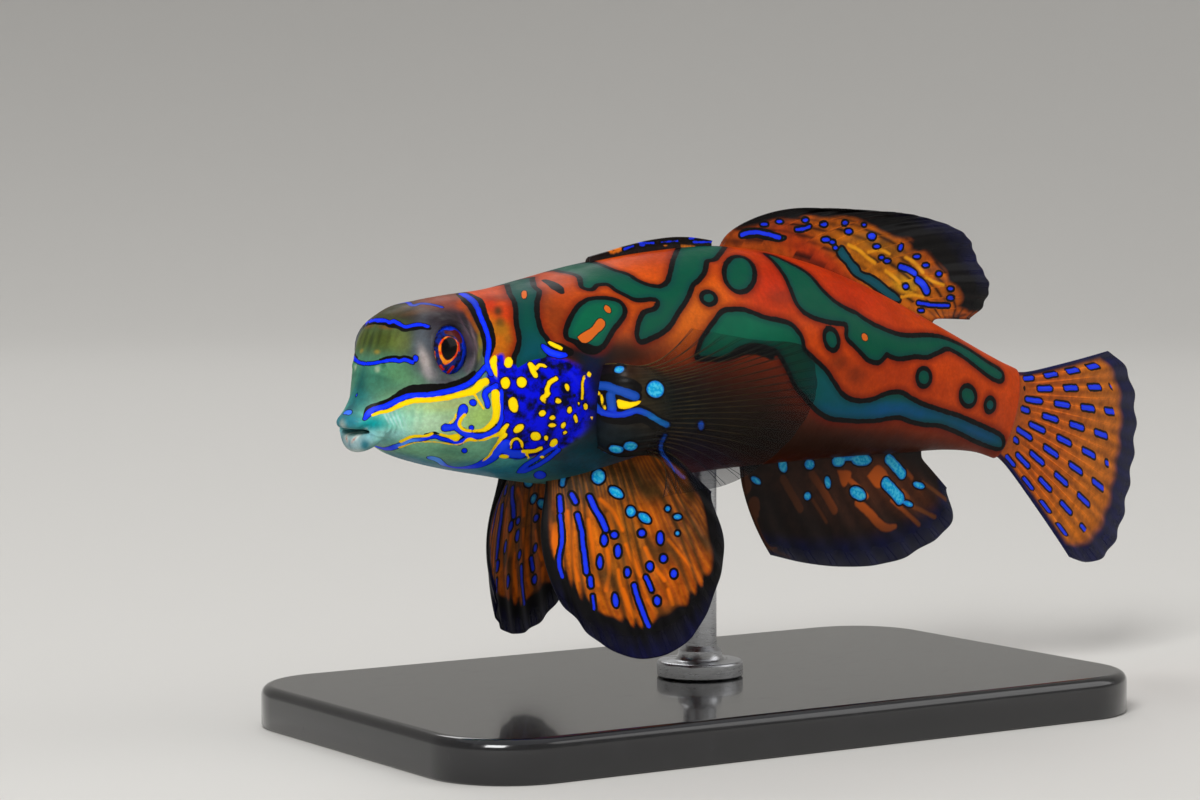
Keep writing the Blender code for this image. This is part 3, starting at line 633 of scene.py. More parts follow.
# %% Blue-green bands
BANDS = (
    # behind the head, from the back down to the gill cover
    patch(
        (508, 272), (511.5, 291), (516.5, 300.5), (518.5, 310), (519, 323), (521, 332), (522, 341),
        (520.5, 349), (517, 358), (516.5, 368), (521, 366), (530, 361), (545, 357), (548, 349),
        (545.5, 341), (539.5, 333), (536.5, 325), (534.5, 316), (534, 303), (536.5, 292), (531, 286),
        (526, 270),
    ),
    # oval on the shoulder
    patch(
        (583.2, 304.8), (592, 300.6), (605.3, 300), (615.6, 301.8), (621.5, 306.2), (622.3, 312.9),
        (617.1, 321), (611.2, 328.3), (606.1, 337.2), (600.9, 344.6), (595, 346), (589.1, 343.8),
        (572.1, 337.9), (568.5, 335.7), (569.2, 328.3), (572.9, 319.5), (578, 310.7),
    ),
    # the forked band that runs down the flank and along the back
    patch(
        (552, 268), (571, 262), (583, 261), (598, 265), (613, 271), (627, 275.5), (636, 281.5),
        (648, 286.5), (661, 288.5), (669, 284), (672, 276), (674.5, 266), (676.5, 259), (684, 245),
        (699, 242), (722, 242), (714, 257), (705, 260), (702, 271), (697, 278), (690.5, 284), (687, 293),
        (682, 302.5), (675, 312.5), (669, 323), (660, 331), (650, 336), (640, 339), (640, 328),
        (642.5, 320), (646, 314.5), (657, 310.5), (660.5, 303.5), (657, 298), (649.5, 297), (636, 298),
        (627, 294), (617, 289), (608, 283), (596, 283.5), (590, 288), (584, 286), (581.7, 277),
        (574, 273), (562.6, 271),
    ),
    # rings and dots
    spot(739.5, 273.7, 13, 16),
    spot(708.6, 298, 5, 4),
    spot(831.5, 339.3, 5, 8.5, -15),
    spot(923.9, 377.4, 5.2, 6.5),
    # the big lobe on the flank, and the band that runs on from it to the tail
    patch(
        (698.2, 356), (703.4, 341.5), (709.3, 332.6), (716.7, 322.3), (724, 313.5), (732.9, 312),
        (743.2, 312), (752, 314.9), (765.3, 320.1), (780.1, 323), (790.4, 326.7), (796.3, 332.6),
        (800.7, 340), (804, 352), (823.4, 371), (833.7, 385.8), (839.6, 394.6), (848.5, 401.2),
        (860.3, 403.5), (872, 402), (882.4, 397.6), (892.7, 394.6), (901.5, 395.3), (910.4, 400.5),
        (922.2, 406.4), (936.9, 411.6), (960, 419), (985, 430), (1000, 438), (1000, 447), (980, 441),
        (958, 430), (939.9, 423.4), (926.6, 422.6), (913.3, 419.7), (900, 415.3), (889.7, 416),
        (877.9, 418.2), (863.2, 418.9), (848.5, 418.2), (833.7, 416.7), (823.4, 412.3), (814.5, 404.9),
        (805.7, 394.6), (796.9, 384.3), (788, 366), (778, 350), (766.8, 345.2), (758, 343),
        (746.1, 343.7), (734.4, 348.8), (726.2, 356),
    ),
    # from under the back fin to the tail
    patch(
        (768, 255), (777.1, 263.3), (786, 275.1), (790.4, 284), (794.1, 292.8), (797.7, 301.7),
        (805.1, 310.5), (816.9, 316.4), (831.7, 320.1), (846.4, 322.3), (848.5, 329.7), (848.5, 337.1),
        (854.4, 343), (861.7, 350.4), (869.1, 357.8), (877.9, 360), (883.8, 354.8), (886.8, 351.9),
        (892.7, 354.8), (901.5, 356.3), (914.8, 354.1), (926.6, 354.8), (936.9, 350.4), (947.2, 346.5),
        (962, 354), (978, 366), (990, 375), (1000, 379), (1001, 372.5), (988, 364), (975, 355),
        (964, 348), (953, 343), (940, 338.5), (926, 337.5), (912, 338), (900, 337), (889, 333.5),
        (880.9, 330), (872, 325.8), (863.2, 320.4), (855.8, 315), (846.4, 311), (834.6, 303.5),
        (827.2, 297), (819.9, 289.5), (814, 282), (808.1, 275.5), (802, 271), (795, 267), (786, 262.5),
        (776, 257.5),
    ),
    # on the tail stalk
    spot(968, 396, 6, 8, -20),
    spot(990, 405, 3.5, 4.5),
)
BAND_HOLES = (
    patch(
        (577.3, 337.2), (583.2, 332.8), (592, 327.6), (596.5, 321), (600.2, 318.3), (604.6, 321),
        (603.8, 326.9), (598, 332.8), (592, 338.7), (587.6, 342.4), (581.7, 342.4),
    ),
    spot(607.5, 309.2, 2.7, 4.5, -35),
    spot(524.2, 294.7, 2.5, 4.5),
    spot(864.7, 337.1, 3, 4, -30),
)
BODY_BLACK_AND_SHADE = (
    stroke(6, (544.9, 280.4, 4), (552.2, 284.1, 6), (558, 288.5, 7), (561, 292, 5)),
    # under the band along the belly
    stroke(
        4, (700, 357), (714, 357, 5), (727, 357, 8), (738, 353, 9), (748, 350, 10), (760, 351, 9),
        (772, 356, 8),
    ),
    # dark ovals behind the gill opening: painted shade in the fold there
    stroke(13, (551, 344, 6), (560, 350), (570, 352, 8)),
    stroke(9, (574, 340, 5), (583, 347), (592, 351, 8), (600, 350, 5)),
)
print(len(BANDS), "bands and rings")

# %% [markdown]
# ## Soft colours under the marks
# Under the crisp marks the colour drifts: olive on the snout, pale green on the cheek, orange on
# the flank, and brown towards the belly. Some washes add painted shade, on the belly, under the
# pectoral fin and in the fold behind the gill opening, and two are a painted highlight on the
# ring round the eye. A painter lays these with a soft wide brush, one wash over the other. Each
# wash below is a place, a width and height in pixels, a tilt, a colour by its values on a
# screen, and a strength.

# %% Washes
def tone(red, green, blue):
    """A colour given by its values on a screen, from 0 to 255, as a shader needs it."""
    share = np.array([red, green, blue]) / 255.0
    return np.where(share <= 0.04045, share / 12.92, ((share + 0.055) / 1.055) ** 2.4)


def washed(at, base, washes):
    """Colours at pixels: a base under soft oval washes, laid in turn."""
    colour = np.broadcast_to(tone(*base), (*at.shape[:-1], 3)).copy()
    for x, y, wide, high, tilt, paint, strength in washes:
        lean = math.radians(tilt)
        dx, dy = at[..., 0] - x, at[..., 1] - y
        a = (dx * math.cos(lean) + dy * math.sin(lean)) / wide
        b = (-dx * math.sin(lean) + dy * math.cos(lean)) / high
        share = strength * np.exp(-((a * a + b * b) ** 1.5))
        colour += share[..., None] * (tone(*paint) - colour)
    return colour

# %% Washes of the body
ORANGE = (206, 70, 8)
BODY_WASHES = (
    # the flank: lighter, redder and browner orange
    (640, 300, 70, 40, 20, (222, 92, 10), 0.7),
    (690, 315, 45, 35, -30, (232, 116, 16), 0.7),
    (775, 282, 35, 35, 0, (196, 36, 6), 0.75),
    (850, 290, 60, 25, 35, (192, 40, 6), 0.75),
    (890, 345, 60, 30, 20, (206, 62, 10), 0.5),
    (780, 298, 14, 9, 0, (130, 40, 10), 0.6),
    (560, 300, 36, 40, 0, (170, 66, 14), 0.6),
    (556, 322, 12, 20, 10, (84, 44, 14), 0.5),
    (545, 300, 8, 14, 0, (60, 50, 24), 0.4),
    (620, 345, 60, 16, 0, (110, 60, 22), 0.5),
    (839, 362, 10, 9, 0, (104, 40, 12), 0.7),
    (857, 374, 11, 10, 0, (104, 40, 12), 0.7),
    (900, 380, 50, 16, 15, (176, 52, 10), 0.5),
    # the strip behind the blue line of the head
    (500, 315, 24, 36, 0, (208, 76, 12), 0.95),
    (490, 304, 9, 9, 0, (206, 40, 8), 0.7),
    (507, 312, 6, 14, 0, (206, 52, 10), 0.7),
    (492, 325, 5, 12, -15, (206, 108, 14), 0.7),
    (501, 330, 11, 9, 0, (160, 112, 16), 0.8),
    (500, 347, 12, 12, 0, (208, 118, 14), 0.85),
    (509, 339, 5, 5, 0, (120, 92, 20), 0.6),
    (498, 311, 4.6, 5, 0, (44, 44, 20), 0.9),
    (500, 322, 5, 5, 0, (84, 70, 20), 0.8),
    (497, 298, 18, 4, 0, (110, 40, 14), 0.6),
    # the belly, the flank under the pectoral fin and the fold behind the gill opening: dark browns that are
    # partly the fish's colour and partly painted shade
    (860, 448, 170, 34, 5, (48, 22, 10), 0.98),
    (730, 425, 110, 66, 0, (40, 26, 16), 0.96),
    (640, 410, 70, 60, 0, (28, 30, 28), 0.95),
    (572, 353, 56, 10, 3, (16, 11, 12), 0.95),
    (616, 354, 40, 15, 0, (40, 23, 12), 0.9),
    (590, 400, 26, 60, 0, (6, 7, 24), 1.0),
    (591, 364, 20, 20, 0, (12, 26, 30), 0.95),
    (592, 394, 13, 36, 0, (6, 18, 66), 0.9),
    (590, 450, 64, 24, 0, (14, 52, 62), 1.0),
    (565, 468, 60, 18, 0, (20, 76, 90), 0.97),
)
print(len(BODY_WASHES), "washes on the body")

# %% Washes of the face
FACE_BASE = (92, 146, 122)
FACE_WASHES = (
    # the crown and the forehead
    (430, 312, 80, 30, 0, (46, 38, 22), 1.0),
    (450, 302, 34, 10, 5, (176, 66, 16), 0.75),
    (470, 300, 16, 12, 30, (120, 50, 20), 0.6),
    (420, 311, 22, 3.0, -12, (104, 68, 26), 0.6),
    (402, 309, 16, 2.4, -28, (92, 66, 26), 0.5),
    (436, 316, 14, 2.2, -8, (34, 26, 20), 0.6),
    (384, 315, 22, 8, -20, (66, 58, 28), 0.6),
    # the snout between its two blue lines, with dark streaks
    (384, 342, 34, 20, 0, (78, 92, 36), 1.0),
    (402, 343, 12, 14, 0, (112, 128, 52), 0.8),
    (364, 342, 3.2, 15, 8, (22, 40, 34), 0.75),
    (371, 340, 2.4, 14, 12, (34, 46, 26), 0.7),
    (379, 338, 2.2, 12, 14, (40, 48, 24), 0.6),
    (389, 336, 2.0, 10, 14, (58, 64, 28), 0.6),
    (397, 334, 1.8, 9, 12, (74, 84, 36), 0.5),
    (377, 352, 3.0, 2.2, 0, (190, 150, 20), 0.6),
    (386, 327, 8, 2.4, 6, (140, 78, 20), 0.5),
    # under the snout line
    (385, 382, 44, 26, 0, (62, 128, 104), 1.0),
    (358, 380, 9, 30, 0, (14, 84, 84), 0.85),
    (404, 374, 22, 12, 10, (104, 168, 112), 0.7),
    (376, 377, 16, 3, 10, (40, 96, 84), 0.4),
    (392, 392, 20, 5, -20, (54, 110, 88), 0.5),
    (360, 406, 16, 16, 0, (10, 128, 134), 0.9),
    (346, 409, 9, 12, 10, (8, 78, 104), 0.95),
    # the cheek
    (436, 416, 66, 30, -8, (172, 218, 160), 1.0),
    (482, 416, 22, 16, 0, (166, 200, 104), 0.9),
    (450, 404, 34, 7, -6, (206, 226, 140), 0.7),
    (430, 424, 26, 10, 0, (196, 232, 196), 0.7),
    (412, 421, 12, 12, 10, (190, 230, 200), 0.6),
    (412, 416, 3, 12, 8, (126, 186, 150), 0.5),
    (421, 415, 2.4, 12, 6, (132, 190, 150), 0.45),
    # the corner of the mouth and the jaw
    (383, 420, 26, 15, 0, (120, 210, 190), 0.98),
    (371, 424, 17, 8.5, 0, (0, 158, 160), 1.0),
    (366, 428, 12, 4, 0, (0, 120, 130), 0.6),
    (386, 437, 26, 8, -6, (156, 222, 220), 0.97),
    (384, 442, 16, 3, -8, (90, 170, 190), 0.6),
    (368, 438, 9, 6, -30, (120, 190, 206), 0.9),
    (386, 417, 1.3, 8, -28, (186, 232, 226), 0.75),
    (390, 418, 1.3, 9, -28, (186, 232, 226), 0.75),
    (394.5, 419, 1.3, 10, -26, (190, 234, 228), 0.8),
    (399, 420, 1.4, 10, -22, (190, 234, 228), 0.7),
    (404, 421, 1.6, 9, -18, (180, 226, 214), 0.5),
    # the chin
    (440, 452, 62, 11, 8, (128, 190, 150), 0.95),
    (470, 452, 26, 10, 0, (120, 180, 140), 0.7),
    (455, 452, 24, 4, 5, (84, 150, 128), 0.5),
    (420, 463, 50, 6, 14, (20, 116, 150), 0.8),
    (480, 470, 40, 8, 4, (30, 128, 164), 0.9),
    (520, 468, 44, 14, 0, (30, 120, 140), 0.9),
    (505, 462, 20, 5, -10, (90, 180, 170), 0.5),
    (580, 466, 46, 20, 0, (20, 76, 90), 1.0),
    # the lips
    (355, 445, 17, 11, 0, (150, 182, 186), 1.0),
    (347, 445, 4.5, 3.5, 30, (14, 96, 122), 0.85),
    (365, 445, 5, 5, 0, (6, 118, 136), 0.9),
    (355, 452, 12, 2.6, 0, (196, 208, 204), 0.8),
    (342, 442, 3, 5, 20, (130, 170, 180), 0.8),
    (358.5, 436.5, 9.5, 1.9, -45, (224, 240, 234), 0.95),
    (354, 441, 3.6, 0.9, -45, (176, 92, 70), 0.8),
    (350, 421, 11, 8, 0, (34, 132, 152), 0.9),
    (340, 426, 5.5, 7, 0, (172, 190, 184), 1.0),
    (340.5, 422.5, 1.6, 1.3, 0, (60, 84, 90), 0.7),
    (349, 429.2, 8, 1.8, 10, (196, 222, 226), 0.85),
    (377.5, 369, 2.8, 3.2, 0, (196, 206, 176), 0.55),
    # the ring of skin round the eye
    (446, 350, 37, 44, 0, (66, 62, 76), 1.0),
    (451, 318, 26, 9, 0, (34, 26, 34), 0.95),
    (474, 345, 10, 36, 0, (54, 42, 52), 0.85),
    (420, 345, 8, 26, 6, (92, 102, 112), 0.8),
    # a painted highlight on the lower left of the ring
    (425, 362, 5, 16, -16, (206, 196, 192), 0.75),
    (430, 374, 10, 6, 30, (150, 142, 148), 0.6),
    (450, 383, 22, 5, 0, (88, 84, 98), 0.8),
    (474, 341, 1.9, 20, -14, (132, 108, 114), 0.8),
    (466, 333, 1.7, 18, -22, (98, 78, 92), 0.7),
    (470, 366, 1.8, 14, 24, (112, 98, 108), 0.6),
    (462, 304, 6, 6, 0, (190, 74, 14), 0.9),
    (469, 316, 2.6, 10, -28, (164, 74, 16), 0.9),
    (476, 328, 2.4, 8, -26, (160, 88, 16), 0.9),
    (480, 341, 2.4, 9, -4, (150, 124, 14), 0.9),
    (478.5, 355, 2.6, 7, 10, (110, 120, 50), 0.8),
)
print(len(FACE_WASHES), "washes on the face")

# %% Washes of the bands and lines
BAND_BASE = (0, 82, 58)
BAND_WASHES = (
    (590, 320, 50, 40, 0, (4, 106, 70), 0.7),
    (742, 328, 50, 24, 0, (4, 108, 76), 0.85),
    (530, 350, 24, 22, 0, (2, 70, 92), 0.85),
    (528, 300, 20, 40, 0, (2, 62, 62), 0.7),
    (620, 270, 60, 12, 10, (2, 66, 54), 0.6),
    (880, 412, 90, 12, 0, (4, 80, 138), 0.97),
    (840, 392, 34, 30, 40, (2, 84, 104), 0.8),
    (980, 430, 40, 20, 0, (4, 80, 138), 0.9),
    (860, 330, 60, 20, 20, (4, 80, 56), 0.5),
)
LINE_BASE = (0, 40, 250)
LINE_WASHES = (
    (408, 443, 12, 4, -15, (90, 170, 255), 0.8),
    (436, 460, 10, 6, 30, (110, 180, 255), 0.8),
    (425, 306, 24, 6, 0, (24, 52, 110), 0.8),
    (349, 412, 8, 8, 0, (70, 130, 240), 0.8),
    (540, 460, 50, 18, 0, (4, 50, 210), 0.6),
    (470, 303, 14, 10, 0, (4, 34, 120), 0.6),
    (355, 380, 8, 26, 0, (40, 80, 190), 0.7),
)
print(len(BAND_WASHES) + len(LINE_WASHES), "washes on bands and lines")

# %% Ground colours
left_pixels = pixels(skin_chart.room[:, :HALF])


def both_sides(left):
    """Values of the left half of the skin, repeated as their mirror image on the right."""
    return np.concatenate([left, left[:, -2:0:-1]], 1)


FACE_END = (
    (458, 290), (468, 296), (475, 306), (481, 318), (487, 334), (489, 345), (488, 356), (492, 368),
    (499, 380), (502, 400), (502, 425), (503, 440), (517, 455), (545, 459), (575, 463), (592, 470),
)


def face_share():
    """1 on the face and 0 behind the line where the face ends."""
    met = np.array([skin_chart.touch(*p)[0] for p in FACE_END])
    met = met[np.argsort(met[:, 1])]
    edge = np.interp(np.arange(HALF), met[:, 1], met[:, 0])
    return step_up(edge[None, :] - np.arange(len(SKIN_ROWS))[:, None], -1.5, 1.5)


def step_up(value, low, high):
    """0 below low, 1 above high and smooth between them."""
    t = np.clip((value - low) / (high - low), 0.0, 1.0)
    return t * t * (3.0 - 2.0 * t)


face = face_share()[..., None]
skin_ground = washed(left_pixels, ORANGE, BODY_WASHES)
skin_ground += face * (washed(left_pixels, FACE_BASE, FACE_WASHES) - skin_ground)
skin_ground = both_sides(skin_ground)
skin_band = both_sides(washed(left_pixels, BAND_BASE, BAND_WASHES))
skin_line = both_sides(washed(left_pixels, LINE_BASE, LINE_WASHES))
print("mean ground colour", skin_ground.reshape(-1, 3).mean(0).round(3))

# %% Distances on the skin
BAND_OUTLINE, DROP_OUTLINE = 0.33, 0.07  # mm of black outside the bands and the yellow drops
GILL_FADE = (556.0, 590.0)  # the gill patch loses its edge between these pixels
FADED_SHARE, FADED_EDGE = 0.8, 0.12  # how much of the edge goes, mm that it is set to
skin_band_edge = skin_chart.field(BANDS)
skin_hole_edge = skin_chart.field(BAND_HOLES)
skin_blue_edge = skin_chart.field(FACE_LINES)
skin_yellow_edge = skin_chart.field(YELLOW_MARKS)
skin_gill_edge = skin_chart.field(GILL_BLUE)
behind_gill = both_sides(step_up(left_pixels[..., 0], *GILL_FADE))
skin_gill_edge = skin_gill_edge * (1.0 - FADED_SHARE * behind_gill) + FADED_EDGE * behind_gill
skin_gill_black = np.maximum(skin_yellow_edge - DROP_OUTLINE, skin_gill_edge)
skin_black_edge = np.minimum.reduce(
    [
        skin_band_edge - BAND_OUTLINE,
        skin_chart.field(FACE_BLACK),
        skin_chart.field(BODY_BLACK_AND_SHADE),
        skin_gill_black,
    ]
)
print("bands cover", round(float((skin_band_edge < 0).mean()) * 100), "percent of the skin")

# %% [markdown]
# ## Folds, lids and nostrils
# A cast of a real head keeps its small forms: the ring of skin round the eye, folds beside it,
# short tubes at the nostrils, wrinkles at the corner of the mouth and the edge of the gill
# cover. They could be sculpted by hand. Here each is a short rule that lifts or sinks the skin
# by parts of a millimetre, so that its place and size stay clear.

# %% Relief of the head
LID_RADIUS, LID_HEIGHT, LID_WIDTH = 1.64, 0.19, 0.17  # mm, from the eye's axis
LID_SHIFT, LID_NARROW = 0.2, 0.87  # mm towards the tail; width of the opening by its height
SOCKET_START, SOCKET_END, SOCKET_DEPTH = 1.48, 1.12, 1.3
# wrinkles round the lid: height, distance, width, least share, turn towards the strongest side
LID_WRINKLES = ((0.045, 2.03, 0.07, 0.4, 0.3), (0.035, 2.24, 0.06, 0.2, -0.2))
FINE_HEIGHT, FINE_RADIUS, FINE_WIDTH, FINE_COUNT = 0.012, 1.9, 0.25, 26.0
NOSTRIL_S, NOSTRIL_ANGLE = 3.4, 36.0  # percent, degrees from the crown
TUBE_HEIGHT, TUBE_RADIUS, TUBE_WIDTH = 0.1, 0.2, 0.08  # mm
PIT_DEPTH, PIT_WIDTH = 0.16, 0.11


def eye_axis(side):
    """Where the eye looks: outwards, a little forwards and up."""
    looking = np.array([-0.16, side, 0.07])
    return looking / np.linalg.norm(looking)


def hump(value, middle, width):
    return np.exp(-(((value - middle) / width) ** 2))


relief = np.zeros_like(flat_skin)
skin_normal = body_normal(SKIN_ROWS[:, None], SKIN_THETA[None, :])
for side in (-1, 1):
    axis = eye_axis(side)
    away = (flat_skin - eye_centre(side)) / MM
    out = away @ axis
    level = np.array([1.0, 0.0, 0.0]) - axis[0] * axis
    along = (away @ level) - LID_SHIFT
    radius = np.linalg.norm(away - out[..., None] * axis - LID_SHIFT * level, axis=-1)
    radius = np.sqrt(radius**2 + along**2 * (LID_NARROW**-2 - 1.0))
    turn = np.arctan2(away[..., 2], away[..., 0])
    front = step_up(out, 0.2, 0.9)
    lift = LID_HEIGHT * hump(radius, LID_RADIUS, LID_WIDTH)
    for height, distance, width, least, lean in LID_WRINKLES:
        strong = least + (1.0 - least) * np.cos(0.5 * (turn - lean)) ** 2
        lift += height * hump(radius, distance, width) * strong
    fine = np.sin(FINE_COUNT * turn + 2.0 * np.sin(3.0 * turn))
    lift += FINE_HEIGHT * hump(radius, FINE_RADIUS, FINE_WIDTH) * fine
    lift -= SOCKET_DEPTH * (1.0 - step_up(radius, SOCKET_END, SOCKET_START))
    relief += (front * lift * MM)[..., None] * axis
    # nostril: a low tube with a pit
    theta = math.radians(NOSTRIL_ANGLE) * -side
    nostril = body_point(row_at(NOSTRIL_S), theta)
    from_nostril = np.linalg.norm(flat_skin - nostril, axis=-1) / MM
    tube = TUBE_HEIGHT * hump(from_nostril, TUBE_RADIUS, TUBE_WIDTH)
    tube -= PIT_DEPTH * hump(from_nostril, 0.0, PIT_WIDTH)
    relief += (tube * MM)[..., None] * skin_normal


print("lids and nostrils up to", round(float(np.abs(relief).max()) / MM, 2), "mm")

# %% Wrinkles, lips and the edge of the gill cover
MOUTH_FOLDS = (
    stroke(1, (383, 411), (388, 417), (389.5, 424), (387, 431)),
    stroke(1, (387, 410), (392, 416), (394, 424), (391, 433)),
    stroke(1, (391, 409), (397, 416), (399, 425), (396, 434)),
    stroke(1, (396, 409), (402, 417), (404, 426)),
    stroke(1, (372, 436), (380, 439), (389, 439)),
    stroke(1, (370, 431), (379, 434), (387, 434)),
)
GILL_FOLDS = (
    stroke(2, (489, 385), (499, 392), (504, 405), (504, 422), (502, 438), (496, 452)),
    stroke(2, (545, 352), (560, 362), (575, 372), (584, 388), (588, 405), (584, 424), (572, 438)),
)
MOUTH_LINE = (stroke(2.2, (345, 432), (352, 430.8), (358, 429.5), (364, 428.5), (370, 427)),)
for folds, depth, width in ((MOUTH_FOLDS, 0.035, 0.08), (GILL_FOLDS, 0.09, 0.22), (MOUTH_LINE, 0.10, 0.14)):
    groove = depth * hump(np.maximum(skin_chart.field(folds), 0.0), 0.0, width)
    relief -= (groove * MM)[..., None] * skin_normal

# The lips are nearly closed, and the cast leaves only a dark line between them.
LIP_OPENING, CLOSED_ROWS = 0.7, (1.5, 4.0)  # share of the solids' opening, rows it holds for
mouth_level = smooth_rows(BODY_ROWS, SKIN_ROWS)[:, 2:3] * PERCENT * STANDARD_LENGTH
closing = LIP_OPENING + (1.0 - LIP_OPENING) * step_up(SKIN_ROWS, *CLOSED_ROWS)
skin_points = flat_skin + relief
skin_points[..., 2] = mouth_level + closing[:, None] * (skin_points[..., 2] - mouth_level)
print("relief up to", round(float(np.abs(relief).max()) / MM, 2), "mm")

# %% [markdown]
# ## From grids to pieces
# `mesh_object` makes an object of points and faces, and `write_marks` stores the paint on its
# points as named attributes. An attribute moves with the mesh and needs no image. `weld` closes
# the poles, and `settle` hides the solids that the finished piece takes the place of.

# %% Helpers that make meshes
def mesh_object(name, points, faces, finish, smooth=True):
    """An object at the origin, from points in the room."""
    mesh = bpy.data.meshes.new(name)
    mesh.from_pydata(np.asarray(points).tolist(), [], faces)
    mesh.materials.append(finish)
    if smooth:
        mesh.shade_smooth()
    made = bpy.data.objects.new(name, mesh)
    bpy.context.scene.collection.objects.link(made)
    return made


def write_marks(piece, values, copies=1, poles=False):
    """Stores numbers or colours for each point. The grid's values are repeated for each copy
    of it in the mesh. Two poles take those of the first and the last grid point."""
    for name, grid in values.items():
        flat = grid.reshape(-1, grid.shape[-1]) if grid.ndim == 3 else grid.reshape(-1, 1)
        flat = np.vstack([flat] * copies + ([flat[:1], flat[-1:]] if poles else []))
        if flat.shape[1] == 3:
            layer = piece.data.attributes.new(name, "FLOAT_COLOR", "POINT")
            flat = np.hstack([flat, np.ones((len(flat), 1))])
            layer.data.foreach_set("color", flat.astype(np.float32).ravel())
        else:
            layer = piece.data.attributes.new(name, "FLOAT", "POINT")
            layer.data.foreach_set("value", flat.astype(np.float32).ravel())


def settle(piece, node=None):
    """Hangs a finished piece on the root, hides the solids that it takes the place of and prints its number
    of points.
    """
    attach(piece, "root")
    if node:
        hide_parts(*([node] if isinstance(node, str) else node))
    piece.data.update()
    print(piece.name, len(piece.data.vertices), "points")


def turned(profile, around, x=0.0, y=0.0):
    """Points of a profile of (radius, height) turned round an upright axis."""
    turn = np.linspace(0.0, 2.0 * math.pi, around, endpoint=False)
    return [(x + r * math.cos(a), y + r * math.sin(a), z) for r, z in profile for a in turn]


def weld(piece, distance):
    """Merges the points that lie together, such as those of a pole, and turns faces outwards."""
    work = bmesh.new()
    work.from_mesh(piece.data)
    bmesh.ops.remove_doubles(work, verts=work.verts, dist=distance)
    bmesh.ops.recalc_face_normals(work, faces=work.faces)
    work.to_mesh(piece.data)
    work.free()

# %% [markdown]
# ## Paint as a node tree
# All marked pieces share one way of painting. The ground colour comes first, then black, the
# bands, holes in them, blue, cyan and yellow, each where its distance is below zero. A little
# noise moves every edge, because a brush never follows a line exactly. `Paint` keeps the
# building of such a tree short.

# %% A small tool for node trees
class Paint:
    """A node material, built with one short call for each node."""

    def __init__(self, name):
        self.material = bpy.data.materials.new(name)
        self.material.use_nodes = True
        self.nodes, self.links = self.material.node_tree.nodes, self.material.node_tree.links
        self.shader = self.nodes["Principled BSDF"]
        self.place = self.nodes.new("ShaderNodeTexCoord").outputs["Object"]

    def put(self, value, socket):
        """Links a socket to another, or sets its number or colour."""
        if isinstance(value, bpy.types.NodeSocket):
            self.links.new(value, socket)
        elif hasattr(value, "__len__"):
            socket.default_value = (*value, 1.0) if len(socket.default_value) == 4 else tuple(value)
        else:
            socket.default_value = value

    def math(self, operation, *values):
        node = self.nodes.new("ShaderNodeMath")
        node.operation = operation
        for value, socket in zip(values, node.inputs):
            self.put(value, socket)
        return node.outputs[0]

    def stored(self, name, output="Fac"):
        node = self.nodes.new("ShaderNodeAttribute")
        node.attribute_name = name
        return node.outputs[output]

    def noise(self, scale, detail=3.0, rough=0.5, stretch=None):
        node = self.nodes.new("ShaderNodeTexNoise")
        where = self.place
        if stretch:
            mapping = self.nodes.new("ShaderNodeMapping")
            self.links.new(self.place, mapping.inputs["Vector"])
            mapping.inputs["Scale"].default_value = stretch
            where = mapping.outputs[0]
        self.links.new(where, node.inputs["Vector"])
        for word, value in (("Scale", scale), ("Detail", detail), ("Roughness", rough)):
            node.inputs[word].default_value = value
        return node.outputs[0]

    def ramp(self, value, low, high, at_low=0.0, at_high=1.0):
        """A smooth step between two levels."""
        node = self.nodes.new("ShaderNodeMapRange")
        node.interpolation_type = "SMOOTHSTEP"
        for number, socket in zip((value, low, high, at_low, at_high), node.inputs):
            self.put(number, socket)
        return node.outputs[0]

    def mix(self, share, first, second, blend="MIX"):
        node = self.nodes.new("ShaderNodeMix")
        node.data_type = "RGBA"
        node.blend_type = blend
        self.put(share, node.inputs[0])
        self.put(first, node.inputs[6])
        self.put(second, node.inputs[7])
        return node.outputs[2]

    def bump(self, height, distance, strength=1.0):
        node = self.nodes.new("ShaderNodeBump")
        for word, value in (("Height", height), ("Distance", distance), ("Strength", strength)):
            self.put(value, node.inputs[word])
        return node.outputs[0]

    def set(self, **values):
        """Sets the shader's inputs by their names, with _ for each space."""
        for word, value in values.items():
            self.put(value, self.shader.inputs[word.replace("_", " ")])

# %% Paint of the marks
BLACK = tone(10, 8, 8)
YELLOW = tone(255, 222, 0)
YELLOW_DEEP = tone(240, 164, 6)
CYAN = tone(0, 158, 214)
HOLE_ORANGE = tone(206, 98, 28)
EDGE_SOFT, EDGE_SWAY = 0.022, 0.05  # mm that an edge is soft, and that it strays
BLUE_OUTLINE, RING_OUTLINE, CYAN_OUTLINE = 0.05, 0.14, 0.12  # mm of black


